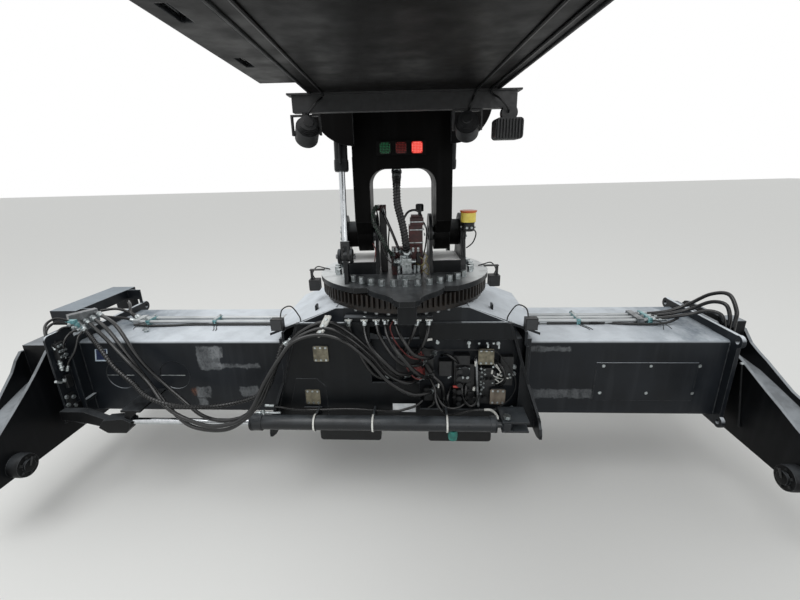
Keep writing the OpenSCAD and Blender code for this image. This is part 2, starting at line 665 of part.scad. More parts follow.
module shift_frame() {
  color([0.1, 0.1, 0.11]) swing() {
    difference() {
      union() {
        front_plate(-roof_deep, roof_deep) roof_line(0, frame_plate);
        // the front and back face under the roof's edge
        both_y() front_plate(-roof_deep - frame_plate, -roof_deep) intersection() {
          roof_line(0, roof_low - rim_low);
          polygon([[-roof_half, -rim_low], [roof_half, -rim_low], [panel_top - 20, -roof_low], [-panel_top + 20, -roof_low]]);
        }
        both_y() slab([-panel_top + 20, -roof_deep - frame_plate - 18, -roof_low], [panel_top - 20, -roof_deep - frame_plate, -roof_low + 8]);
        // ribs between the roof and the sleeve
        for (x = [-roof_half, roof_half]) slab([x - 10, -roof_deep, -sleeve_top - eps], [x + 10, roof_deep, -rim_low - frame_plate + eps]);
        both_x() slab([frame_half - 70, -roof_deep, -sleeve_top - eps], [frame_half - 50, roof_deep, -rim_low - roof_drop + 5]);
        translate([0, 0, -sleeve_top - eps]) cylinder(h = sleeve_top - rim_low, r = 420);
        // the sleeve round the main beam
        slab([-frame_half, -sleeve_y - sleeve_wall, -sleeve_top], [frame_half, sleeve_y + sleeve_wall, -sleeve_top + sleeve_wall]);
        both_y() slab([-frame_half, -sleeve_y - sleeve_wall, -frame_low], [frame_half, -sleeve_y, -sleeve_top + eps]);
        both_x() slab([frame_half - 350, -sleeve_y - eps, -frame_low], [frame_half - 30, sleeve_y + eps, -sleeve_low]);
        // the shelf that the hoses hang from, and the ports where they end
        slab([-430, -590, -545], [230, -roof_deep - frame_plate + eps, -533]);
        for (p = drop_hoses) ferrule(p, 20, 19);
        for (p = concat(drop_hoses, [for (i = [0:2]) sag_hoses[i]])) port(p, 60, 19);
        // wear pads
        both_x() {
          both_y() slab([frame_half - 150, -beam_deep + 40, -sleeve_top - eps], [frame_half - 20, -beam_deep + 200, -beam_drop + pad_gap]);
          both_y() slab([frame_half - 150, -beam_deep + 40, -sleeve_low - eps], [frame_half - 40, -beam_deep + 200, -beam_low - pad_gap]);
          both_y() for (z = [-beam_drop - 180, -beam_low + 8])
            slab([frame_half - 150, -sleeve_y - eps, z], [frame_half - 20, -beam_deep - pad_gap, z + 120]);
        }
      }
      // tunnel over the beam for its pipes
      slab([-frame_half - 60, -75, -sleeve_top - 2 * eps], [frame_half + 60, 190, -tunnel_top]);
    }
  }
}

// The slanted side of the frame, which reaches forward at its foot.
module frame_side() {
  intersection() {
    front_plate(-760, 760) polygon([[panel_top - 10, -roof_low], [panel_top + 10, -roof_low], [side_out + 20, -shift_drop - 15],
      [side_out + 20, -frame_low - 20], [side_out, -frame_low - 20], [side_out, -shift_drop - 15]]);
    side_plate(panel_top - 40, side_out + 40) polygon([[-sleeve_y - sleeve_wall, -640], [-roof_deep - pad_gap, -640],
      [-roof_deep - pad_gap, -roof_low + 10], [-frame_front, -roof_low + 10], [-frame_front - 20, -1100], [-shift_y, -shift_drop - 100], [-shift_y, -frame_low + 10], [-640, -frame_low - 20],
      [-sleeve_y - sleeve_wall, -frame_low - 20]]);
  }
}

module shift_panels() {
  color([0.11, 0.11, 0.12]) swing() {
    difference() {
      front_plate(-frame_front, -frame_front + frame_plate) panel_line(0);
      // the open bay with the hoses and the open bay with the valves
      slab([-250, -frame_front - eps, -1100], [130, -frame_front + frame_plate + eps, -roof_low - 20]);
      slab([129, -frame_front - eps, -frame_low + 160], [panel_top + 90, -frame_front + frame_plate + eps, -roof_low - 130]);
    }
    mirror([0, 1, 0]) front_plate(-frame_front, -frame_front + frame_plate) panel_line(0);
    // the barrel passes the foremost edge of the sides
    difference() {
      both_x() both_y() frame_side();
      rod_x(-side_out - 60, side_out + 60, shift_r + 3, -shift_y, -shift_drop);
    }
    // ribs that hold the panels off the sleeve
    for (x = [-560, -270, 940]) slab([x, -frame_front + frame_plate - eps, -1380], [x + 20, -sleeve_y - sleeve_wall, -sleeve_top - 5]);
    mirror([0, 1, 0]) for (x = [-900, -560, 0, 560, 880]) slab([x, -frame_front + frame_plate - eps, -1380], [x + 20, -sleeve_y - sleeve_wall, -sleeve_top - 5]);
    port(sag_hoses[3], 60, 19);
    // cover plates and the raised plate
    for (c = [[-640, -847], [-739, -1232], [639, -660], [741, -1235]]) if (c[0] < 0) front_plate(-frame_front - 8, -frame_front) translate(c) round_rect(cover_wide, cover_high, 12);
    front_plate(-frame_front - plate_raise, -frame_front) polygon([[-858, -1063], [-690, -1063], [-620, -1135], [-620, -1440], [-960, -1440]]);
  }
}

module shift_barrel() {
  color([0.13, 0.13, 0.14]) swing() {
    difference() {
      union() {
        rod_x(-shift_left, shift_right, shift_r, -shift_y, -shift_drop);
        rod_x(-shift_left, -shift_left + 90, shift_r + 8, -shift_y, -shift_drop);
        rod_x(shift_right - 40, shift_right + 5, shift_r + 6, -shift_y, -shift_drop);
        // the eye at the closed end, with its lug on the panel
        rod_x(shift_right + 4, shift_right + 50, 26, -shift_y, -shift_drop);
        translate([shift_right + 85, -shift_y, -shift_drop - 30]) cylinder(h = 60, r = 44);
        for (z = [-46, 31]) slab([shift_right + 45, -shift_y - 40, -shift_drop + z], [shift_right + 245, -frame_front, -shift_drop + z + 15]);
        translate([shift_right + 85, -shift_y, -shift_drop - 58]) cylinder(h = 116, r = 20);
      }
      rod_x(-shift_left - 10, -shift_left + 90, shift_rod_r + pin_fit, -shift_y, -shift_drop);
      rod_x(-shift_left + 80, shift_right - 30, shift_r - 9, -shift_y, -shift_drop);
    }
    // straps, the first on the raised plate
    for (c = [[-687, plate_raise], [-233, 0], [335, 0]]) let (x = c[0], off = c[1]) difference() {
      union() {
        slab([x - 8, -shift_y, -shift_drop - 45], [x + 8, -frame_front - off, -shift_drop + 45]);
        rod_x(x - 8, x + 8, shift_r + 8, -shift_y, -shift_drop);
      }
      rod_x(x - 40, x + 40, shift_r - 2, -shift_y, -shift_drop);
    }
  }
}

module valve_bank() {
  front = -frame_front + 45;
  color([0.3, 0.3, 0.3]) swing() {
    slab([400, front, -1320], [560, -sleeve_y - sleeve_wall, -960]);
    slab([590, front - 20, -1140], [720, -sleeve_y - sleeve_wall, -1010]);
    slab([600, front, -1310], [800, -sleeve_y - sleeve_wall, -1180]);
    slab([760, front + 10, -1150], [860, -sleeve_y - sleeve_wall, -900]);
    // valves in two rows
    for (z = [-1000, -1060, -1120, -1180, -1240, -1290]) {
      translate([440, front, z]) rotate([90, 0, 0]) cylinder(h = 50, r = 20, $fn = 32);
      translate([510, front, z]) rotate([90, 0, 0]) cylinder(h = 30, r = 15, $fn = 32);
    }
    for (x = [620, 655, 690]) translate([x, front - 20, -1073]) rotate([90, 0, 0]) cylinder(h = 40, r = 14, $fn = 32);
    for (x = [640, 700, 760]) translate([x, front, -1245]) rotate([90, 0, 0]) cylinder(h = 35, r = 18, $fn = 32);
  }
}

function lamp_foot(x) = -rim_low - roof_drop * (x - roof_half) / (side_out - roof_half);

module frame_lamps() {
  color([0.15, 0.15, 0.16]) swing() both_x() {
    // the bracket's foot follows the roof's slope
    front_plate(-roof_deep - 22, -roof_deep + 40) polygon([[frame_half - 60, lamp_foot(frame_half - 60)], [frame_half - 40, lamp_foot(frame_half - 40)],
      [frame_half - 40, -rim_low - 120], [frame_half - 60, -rim_low - 120]]);
    slab([frame_half - 95, -roof_deep - 78, -rim_low - 160], [frame_half - 5, -roof_deep - 21, -rim_low - 70]);
  }
}

module frame_feet() {
  color([0.12, 0.12, 0.12]) swing() for (x = [-439, 445]) both_y()
    front_plate(-600, -frame_front + frame_plate) translate([x, -frame_low - 51]) round_rect(500, 102, 25);
}

module main_beam() {
  color([0.1, 0.1, 0.11]) spread() {
    difference() {
      side_plate(-beam_half, beam_half) translate([0, -(beam_drop + beam_low) / 2]) round_rect(2 * beam_deep, beam_high, 26);
      slab([-beam_half - eps, -beam_deep + beam_wall, -beam_low + beam_wall], [beam_half + eps, beam_deep - beam_wall, -beam_drop - beam_wall]);
      // round hand holes with sunk covers in the left of the front wall
      for (x = [-2325, -1850]) translate([x, -beam_deep + 6, -1115]) rotate([90, 0, 0]) cylinder(h = 10, r = 130);
    }
    slab([-beam_half, -6, -beam_low + beam_wall - eps], [beam_half, 6, -beam_drop - beam_wall + eps]);
    // the bolted cover on the right of the front wall
    slab([1640, -beam_deep - 6, -1330], [2420, -beam_deep, -990]);
  }
}

// The flange's outline, as [y, z], with an ear with a hole at each corner.
module flange_line() {
  mid = (beam_drop + beam_low) / 2;
  difference() {
    union() {
      translate([0, -mid]) square([2 * beam_deep + 60, beam_high + 60], center = true);
      for (y = [-1, 1]) for (z = [-1, 1]) translate([y * (beam_deep + 60), z * (beam_high / 2 + 18) - mid]) circle(r = 48);
      for (z = [-1, 1]) translate([0, z * (beam_high / 2 + 30) - mid]) square([2 * beam_deep + 120, 64], center = true);
      for (y = [-1, 1]) translate([y * (beam_deep + 40), -mid]) square([60, beam_high], center = true);
    }
    for (y = [-1, 1]) for (z = [-1, 1]) translate([y * (beam_deep + 60), z * (beam_high / 2 + 18) - mid]) circle(r = 20, $fn = 36);
  }
}

// The left flange, open where the inner beam slides through.
module flange_left() {
  difference() {
    side_plate(-beam_half - flange_thick, -beam_half) flange_line();
    slab([-beam_half - 2 * flange_thick, -inner_y - pad_gap, -inner_low - pad_gap], [-beam_half + eps, -inner_gap + pad_gap, -inner_top + pad_gap]);
  }
}

module beam_flanges() {
  color([0.1, 0.1, 0.11]) spread() {
    flange_left();
    mirror([1, 0, 0]) mirror([0, 1, 0]) flange_left();
    // the left flange's front wing, which carries valves and the side-shift bracket
    side_plate(-beam_half - 14, -beam_half) union() {
      polygon([[-beam_deep - 30, -700], [-650, -700], [-650, -650], [-beam_deep - 30, -650]]);
      translate([-650, -690]) circle(r = 40);
      polygon([[-beam_deep - 30, -690], [-690, -690], [-690, -1380], [-560, -beam_low - 40], [-beam_deep - 30, -beam_low - 40]]);
    }
    slab([-beam_half - eps, -552, -1450], [-beam_half + 44, -544, -880]);
    slab([-beam_half - eps, -552, -1310], [-beam_half + 30, -beam_deep, -1290]);
  }
}

module shift_rod() {
  color([0.78, 0.79, 0.8]) spread() {
    rod_x(-shift_eye + 193, -300, shift_rod_r, -shift_y, -shift_drop);
    rod_x(-300, -250, shift_r - 9 - pin_fit, -shift_y, -shift_drop);
  }
}

// The bracket under the beam's left end, which takes the rod.
module rod_bracket() {
  color([0.09, 0.09, 0.1]) spread() {
    front_plate(-shift_y - 50, -shift_y + 50) polygon([[-shift_eye - 12, -shift_drop - 83], [-shift_eye + 142, -shift_drop - 81],
      [-shift_eye + 178, -shift_drop - 40], [-shift_eye + 192, -shift_drop + 13], [-shift_eye + 140, -shift_drop + 45],
      [-shift_eye - 30, -shift_drop + 28], [-shift_eye - 78, -shift_drop - 36]]);
    // the arm to the flange
    front_plate(-shift_y - 30, -shift_y + 30) polygon([[-shift_eye - 78, -shift_drop - 36], [-shift_eye - 30, -shift_drop + 28],
      [-shift_eye - 190, -shift_drop + 95], [-beam_half, -shift_drop + 95], [-beam_half, -shift_drop + 20], [-shift_eye - 200, -shift_drop - 5]]);
    // the arm to the plate under the beam
    front_plate(-shift_y - 30, -shift_y + 30) polygon([[-shift_eye + 130, -shift_drop + 30], [-shift_eye + 170, -shift_drop + 20],
      [-shift_eye + 240, -shift_drop + 95], [-shift_eye + 160, -shift_drop + 95]]);
    slab([-shift_eye + 120, -shift_y - 30, -shift_drop + 94], [-shift_eye + 280, -shift_y + 30, -shift_drop + 110]);
    slab([-shift_eye + 120, -shift_y + 29, -shift_drop + 94], [-shift_eye + 280, -beam_deep, -shift_drop + 110]);
    slab([-beam_half, -shift_y - 20, -shift_drop - 20], [-beam_half + 12, -552 - pad_gap, -shift_drop + 80]);
  }
}

module hose_guard() {
  color([0.11, 0.11, 0.12]) spread() {
    side_plate(-beam_half - 375, -beam_half - 135) polygon([[-215, -730], [-215, -600], [545, -600], [545, -840], [535, -840], [535, -610],
      [-205, -610], [-205, -730]]);
    // stays from the flange
    for (y = [-160, 425]) slab([-beam_half - 136, y, -700], [-beam_half - 2, y + 12, -600]);
    for (y = [-160, 425]) slab([-beam_half - flange_thick + 2, y, -beam_drop + 62], [-beam_half - 2, y + 12, -699]);
    // the lip that turns down towards the beam
    slab([-beam_half - 143, -215, -690], [-beam_half - 135, 545, -600]);
  }
}

// Puts a port in front of the end of the route p.
module port(p, long, r) { bar(route_end(p) + pad_gap * end_way(p), route_end(p) + long * end_way(p), r); }

// Puts a ferrule of the given length behind the start of the route p.
module ferrule(p, long, r) { bar(p[0] - long * start_way(p), p[0] - pad_gap * start_way(p), r); }

module hose_ports() {
  color([0.5, 0.52, 0.52]) swing() {
    for (p = sag_hoses) ferrule(p, 90, 19);
    translate([-2736, -266, -640]) rotate([0, 0, -32]) slab([-40, -120, -50], [20, 90, 55]);
  }
  color([0.5, 0.52, 0.52]) spread() {
    slab([-beam_half - 26, -300, -beam_drop + 62], [-beam_half - 4, -250, -660]);
    for (p = loop_hoses) ferrule(p, 60, 19);
    slab([2080, -90, -beam_drop], [2131, 130, -beam_drop + 60]);
    slab([beam_half + flange_thick, -345, -920], [beam_half + flange_thick + 80, -185, -850]);
    for (p = loop_hoses) port(p, 30, 19);
  }
}

module beam_pipes() {
  color([0.6, 0.62, 0.63]) spread() {
    for (y = [-40, 60]) rod_x(-2330, -1010, pipe_r, y, -beam_drop + 32);
    for (y = [-50, 20, 90]) rod_x(1110, 2080, pipe_r, y, -beam_drop + 32);
    for (x = [-2290, -1642]) slab([x - 30, -60, -beam_drop], [x + 30, 80, -beam_drop + 30]);
    for (x = [1300, 1850]) slab([x - 30, -70, -beam_drop], [x + 30, 110, -beam_drop + 30]);
    slab([-1010, -65, -beam_drop], [-960, 85, -beam_drop + 55]);
    slab([-2380, -65, -beam_drop], [-2330, 85, -beam_drop + 55]);
    slab([1060, -70, -beam_drop], [1110, 115, -beam_drop + 55]);
  }
}

module sagging_hoses() { color([0.05, 0.05, 0.05]) swing() for (p = sag_hoses) hose(p, hose_r); }
module frame_hoses() { color([0.05, 0.05, 0.05]) swing() for (p = drop_hoses) hose(p, hose_r); }
module beam_hoses() { color([0.05, 0.05, 0.05]) spread() for (p = loop_hoses) hose(p, hose_r); }
module boom_hoses() { color([0.05, 0.05, 0.05]) hang() for (p = head_hoses) hose(p, bundle_r, 12); }
module valve_hoses() { color([0.05, 0.09, 0.06]) hang() for (p = valve_hoses) hose(p, valve_hose_r); }

module inner_left() {
  tail = -web_in + inner_long;
  difference() {
    union() {
      slab([-web_in, -inner_y, -inner_low], [tail, -inner_gap, -inner_top]);
      // the collar that guides the tail in the main beam
      slab([tail - 120, -beam_deep + beam_wall + pad_gap, -beam_low + beam_wall + pad_gap],
        [tail - 20, -6 - pad_gap, -beam_drop - beam_wall - pad_gap]);
    }
    slab([-web_in - eps, -inner_y + 14, -inner_low + 14], [tail + eps, -inner_gap - 14, -inner_top - 14]);
  }
}

// The end beam's side under the given top line.
module end_side(line) { polygon(concat([[end_half, -end_drop], [-end_half, -end_drop]], line)); }

module lock_hole(y) {
  translate([-lock_x, y, -end_drop - 60]) cylinder(h = 500, r = lock_r + pin_fit, $fn = 48);
}

// The end beam at the left, with the given outer web and the box on its shoulder between two stations.
module end_beam(wing, box_from, box_to, box_side) {
  difference() {
    union() {
      side_plate(-web_out, -web_out + 25) end_side(wing);
      side_plate(-web_in - 25, -web_in) end_side(web_line);
      side_plate(-web_out + 24, -web_in - 24) end_side(core_line);
      for (s = [-1, 1]) slab([-web_out, s * (end_half - 12.5) - 12.5, -end_drop], [-web_in, s * (end_half - 12.5) + 12.5, -1330]);
      both_y() slab([-web_out, -end_half, -seat_top], [-web_out + 220, -end_half + 190, -end_drop + eps]);
      slab([-web_out + 24, box_from, -1130], [box_side, box_to, -788]);
      // the round bearing near each end
      both_y() rod_x(-web_in - eps, -web_in + 70, 85, -end_half + 160, -end_drop + 80);
    }
    for (s = [-1, 1]) lock_hole(s * lock_y);
  }
}

module left_inner() { color([0.13, 0.13, 0.14]) spread() inner_left(); }
module right_inner() { color([0.13, 0.13, 0.14]) spread() mirror([1, 0, 0]) mirror([0, 1, 0]) inner_left(); }
module left_end() { color([0.1, 0.1, 0.11]) spread() end_beam(wing_line_l, -520, 40, -web_in - 24); }
module right_end() { color([0.1, 0.1, 0.11]) spread() mirror([1, 0, 0]) mirror([0, 1, 0]) end_beam(wing_line_r, -110, 35, -2870); }

module twistlock(x, y) {
  spread() translate([x, y, -seat_top]) {
    translate([0, 0, -30]) cylinder(h = seat_top - lever_drop + 30, r = lock_r, $fn = 48);
    translate([0, 0, -28 - 62]) intersection() {
      slab([-lock_long / 2, -lock_wide / 2, 0], [lock_long / 2, lock_wide / 2, 62]);
      union() {
        translate([0, 0, 30]) cylinder(h = 32, r = lock_long / 2);
        cylinder(h = 30 + eps, r1 = 26, r2 = lock_long / 2);
      }
    }
    translate([0, 0, seat_top - lever_drop - 14]) union() {
      slab([-12, -lever_reach, 0], [12, lever_reach, 14]);
      cylinder(h = 14, r = lock_r + 8, $fn = 48);
    }
  }
}

module lock_lf() { color([0.5, 0.5, 0.52]) twistlock(-lock_x, -lock_y); }
module lock_lb() { color([0.5, 0.5, 0.52]) twistlock(-lock_x, lock_y); }
module lock_rf() { color([0.5, 0.5, 0.52]) twistlock(lock_x, -lock_y); }
module lock_rb() { color([0.5, 0.5, 0.52]) twistlock(lock_x, lock_y); }

boom_section();
boom_head();
boom_tray();
boom_lamps();
signal_lamps();
tilt_pins();
boom_hoses();
rotator_plate();
rotator_lamps();
slew_ring();
valve_block();
manifold();
lubricator();
pinion_guard();
valve_hoses();
tilt_barrel_l();
tilt_rod_l();
tilt_barrel_r();
tilt_rod_r();
slew_gear();
shift_frame();
shift_panels();
shift_barrel();
valve_bank();
frame_lamps();
frame_feet();
sagging_hoses();
frame_hoses();
main_beam();
beam_flanges();
shift_rod();
rod_bracket();
hose_guard();
hose_ports();
beam_pipes();
beam_hoses();
left_inner();
left_end();
right_inner();
right_end();
lock_lf();
lock_lb();
lock_rf();
lock_rb();
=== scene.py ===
import bmesh, bpy, math
from mathutils import Matrix, Vector


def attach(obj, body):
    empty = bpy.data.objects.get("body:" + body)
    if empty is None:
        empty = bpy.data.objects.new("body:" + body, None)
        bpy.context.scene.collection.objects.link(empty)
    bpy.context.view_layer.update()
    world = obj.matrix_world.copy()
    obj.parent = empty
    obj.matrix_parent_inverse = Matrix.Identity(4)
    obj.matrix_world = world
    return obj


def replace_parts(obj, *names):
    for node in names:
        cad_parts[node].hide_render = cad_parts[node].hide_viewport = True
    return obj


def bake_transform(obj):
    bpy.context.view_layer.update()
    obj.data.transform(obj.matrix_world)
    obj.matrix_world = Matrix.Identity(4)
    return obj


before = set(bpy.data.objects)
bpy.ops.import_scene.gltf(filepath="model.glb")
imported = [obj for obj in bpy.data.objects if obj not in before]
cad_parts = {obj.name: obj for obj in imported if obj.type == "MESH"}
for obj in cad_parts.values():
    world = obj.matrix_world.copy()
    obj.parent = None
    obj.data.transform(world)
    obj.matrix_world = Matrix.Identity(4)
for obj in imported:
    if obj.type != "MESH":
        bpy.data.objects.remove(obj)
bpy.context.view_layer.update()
print("frame loaded")

# the camera, as low as the driver's seat under the boom
cameraView = dict(place=(-0.047, 1.140, -0.75), down=17.96, left=-0.06, roll=-1.43, lens=18.03)


def placeCamera(view):
    down, left, roll = (math.radians(view[key]) for key in ("down", "left", "roll"))
    ahead = Vector((-math.sin(left) * math.cos(down), math.cos(left) * math.cos(down), -math.sin(down)))
    side = Vector((math.cos(left), math.sin(left), 0))
    top = side.cross(ahead)
    turnedSide = side * math.cos(roll) + top * math.sin(roll)
    turnedTop = -side * math.sin(roll) + top * math.cos(roll)
    turn = Matrix((turnedSide, turnedTop, -ahead)).transposed().to_4x4()
    data = bpy.data.cameras.new("loadCamera")
    data.lens, data.sensor_width, data.clip_start, data.clip_end = view["lens"], 36, 0.02, 200
    camera = bpy.data.objects.new("loadCamera", data)
    camera.matrix_world = Matrix.Translation(view["place"]) @ turn
    bpy.context.scene.collection.objects.link(camera)
    bpy.context.scene.camera = camera


placeCamera(cameraView)

# places of the parts' own frames, in metres and degrees, and the frame that each body's pieces are drawn in
stance = dict(headReach=4.5, headDrop=1.25, slewRest=-3.4, shiftRest=-0.107)
hangPlace = Matrix.Translation((0, stance["headReach"], -stance["headDrop"]))
swingPlace = hangPlace @ Matrix.Rotation(math.radians(stance["slewRest"]), 4, "Z")
beamPlace = swingPlace @ Matrix.Translation((stance["shiftRest"], 0, 0))
carried = dict(boom=hangPlace, rotator=hangPlace, tilt_cylinder_l=hangPlace, tilt_cylinder_r=hangPlace,
               tilt_piston_l=hangPlace, tilt_piston_r=hangPlace, shift_frame=swingPlace, beam=beamPlace,
               left_arm=beamPlace, right_arm=beamPlace)


def hexColour(text):
    parts = [int(text[i:i + 2], 16) / 255 for i in (1, 3, 5)]
    return tuple(c / 12.92 if c < 0.04045 else ((c + 0.055) / 1.055) ** 2.4 for c in parts) + (1.0,)


def addNode(tree, kind, links=(), **settings):
    # links are a row from the first input on, or named; a node that is linked gives its first live output
    node = tree.nodes.new(kind if "Node" in kind else "ShaderNode" + kind)
    for key, value in settings.items():
        setattr(node, key, value)
    for key, value in links.items() if isinstance(links, dict) else enumerate(links):
        if isinstance(value, bpy.types.Node):
            value = next(socket for socket in value.outputs if socket.enabled)
        if isinstance(value, bpy.types.NodeSocket):
            tree.links.new(value, node.inputs[key])
        else:
            node.inputs[key].default_value = value
    return node


# world and lamps: white where it is seen or mirrored, plain grey where it lights; lengths in metres, powers
# in watts
lightSettings = dict(
    fill=0.80, middle=(0, 4.5), floorHalf=60, floorDrop=-3.35, floorColour="#dedfdd", aimHeight=-2.0,
    lamps=(("keyLamp", (-3.0, 0.5, 6.5), 420.0, 7.0), ("frontLamp", (1.5, -3.5, 1.5), 90.0, 4.0)))


def makeWorld(light):
    world = bpy.data.worlds.new("softRoom")
    bpy.context.scene.world = world
    world.use_nodes = True
    tree = world.node_tree
    tree.nodes.clear()
    rays = addNode(tree, "LightPath").outputs
    seen = addNode(tree, "Math", (rays["Is Camera Ray"], rays["Is Glossy Ray"]), operation="MAXIMUM")
    seen = addNode(tree, "Math", (seen, rays["Is Transmission Ray"]), operation="MAXIMUM")
    lit = addNode(tree, "Background", ((1, 1, 1, 1), light["fill"]))
    white = addNode(tree, "Background", ((1, 1, 1, 1), 1.0))
    addNode(tree, "OutputWorld", (addNode(tree, "MixShader", (seen, lit, white)),))


def makeStage(light):
    (x, y), half, z = light["middle"], light["floorHalf"], light["floorDrop"]
    mesh = bpy.data.meshes.new("paleFloor")
    mesh.from_pydata([(x + sx * half, y + sy * half, z) for sx, sy in ((-1, -1), (1, -1), (1, 1), (-1, 1))],
                     [], [(0, 1, 2, 3)])
    floor = bpy.data.objects.new("paleFloor", mesh)
    bpy.context.scene.collection.objects.link(floor)
    material = bpy.data.materials.new("studioFloor")
    material.use_nodes = True
    shader = material.node_tree.nodes["Principled BSDF"]
    shader.inputs["Base Color"].default_value = hexColour(light["floorColour"])
    shader.inputs["Roughness"].default_value = 0.9
    shader.inputs["Specular IOR Level"].default_value = 0.1
    mesh.materials.append(material)
    aim = Vector((x, y, light["aimHeight"]))
    for name, place, power, size in light["lamps"]:
        data = bpy.data.lights.new(name, "AREA")
        data.energy, data.size = power, size
        lamp = bpy.data.objects.new(name, data)
        turn = (aim - Vector(place)).to_track_quat("-Z", "Y").to_matrix().to_4x4()
        lamp.matrix_world = Matrix.Translation(place) @ turn
        bpy.context.scene.collection.objects.link(lamp)


makeWorld(lightSettings)
makeStage(lightSettings)
bpy.context.scene.view_settings.view_transform = "Standard"
print("camera and stage made")

# materials
materials = {}


def startMaterial(name, **sockets):
    material = bpy.data.materials.new(name)
    material.use_nodes = True
    tree = material.node_tree
    shader = tree.nodes["Principled BSDF"]
    for key, value in sockets.items():
        shader.inputs[key.replace("_", " ")].default_value = value
    materials[name] = material
    return tree, shader, addNode(tree, "TexCoord").outputs["Object"]


def patches(tree, place, size, detail, low=0.36, high=0.64, least=0.0, most=1.0, stretch=(1, 1, 1),
            rough=0.5):
    # a soft pattern whose patches have a real size in millimetres, spread between two levels
    where = addNode(tree, "Mapping", {"Vector": place, "Scale": tuple(1000 / size * s for s in stretch)})
    fog = addNode(tree, "TexNoise", {"Vector": where, "Scale": 1.0, "Detail": detail, "Roughness": rough})
    return addNode(tree, "MapRange", (fog, low, high, least, most))


def finishShader(tree, shader, colour, rough, **bump):
    # the last links of a material: its colour, its roughness where that is a pattern, and its bump
    tree.links.new(colour.outputs[2], shader.inputs["Base Color"])
    if rough:
        tree.links.new(rough.outputs[0], shader.inputs["Roughness"])
    tree.links.new(addNode(tree, "Bump", bump).outputs[0], shader.inputs["Normal"])


# Two-pack polyurethane paint sprayed on welded steel: a satin coat with soft orange peel, pale dust with a
# painted sky reflection on what faces up, faint dry rain marks on what stands, and a thin worn line with a
# painted highlight along the edges.
paintSettings = dict(
    anthracitePaint=dict(), shelfPaint=dict(), scuffedPaint=dict(),
    guardPaint=dict(dustAndSheen="#9aa4ac", dustAndSheenAmount=0.72),
    # the boom's head and seams: near black, a painted shade of the boom's underside and legs
    shadedBoomPaint=dict(light="#080707", dark="#040404", dustAndSheen="#8f9396", dustAndSheenAmount=0.34, even=0.82, streaks=0.010,
                   edgeWearAndHighlight=0.20, rough=0.44, shine=0.06),
    # the boom's section: the same paint, with painted shade that keeps the underside black
    sectionPaint=dict(light="#15171a", dark="#0d0e10", dustAndSheen="#8f9396", dustAndSheenAmount=0.38, even=0.82,
                      streaks=0.03, edgeWearAndHighlight=0.35, rough=0.42, shine=0.14, under="#060505"),
    panelPaint=dict(light="#101316", dark="#090b0d", dustAndSheen="#8b9196", dustAndSheenAmount=0.30, even=0.3, edgeWearAndHighlight=0.34,
                    rough=0.38, shine=0.20),
    rotatorPaint=dict(light="#121518", dark="#0b0d0f", dustAndSheen="#a4a9ad", dustAndSheenAmount=0.14, even=0.15,
                      streaks=0.015, edgeWearAndHighlight=0.40, rough=0.36, shine=0.25),
    armPaint=dict(light="#0c0e11", dark="#07080a", dustAndSheen="#a3a9ae", dustAndSheenAmount=0.72, even=0.66, streaks=0.010,
                  edgeWearAndHighlight=0.34, shine=0.18),
    barrelPaint=dict(light="#191d21", dark="#101316", dustAndSheen="#7d8489", dustAndSheenAmount=0.22, even=0.4, streaks=0.01,
                     edgeWearAndHighlight=0.20, rough=0.30, shine=0.40),
    # the ear lids: near white, dust and a painted sky reflection that stands against the boom's shadow
    sheenLidPaint=dict(light="#3a3f43", dark="#2a2e31", dustAndSheen="#f2f3f2", dustAndSheenAmount=1.0, even=0.97, streaks=0.0,
                  edgeWearAndHighlight=0.3, rough=0.45, shine=0.3),
    bracketPaint=dict(light="#0b0c0e", dark="#060708", dustAndSheen="#83898e", dustAndSheenAmount=0.16, even=0.2,
                      streaks=0.01, edgeWearAndHighlight=0.40, rough=0.42, shine=0.18))


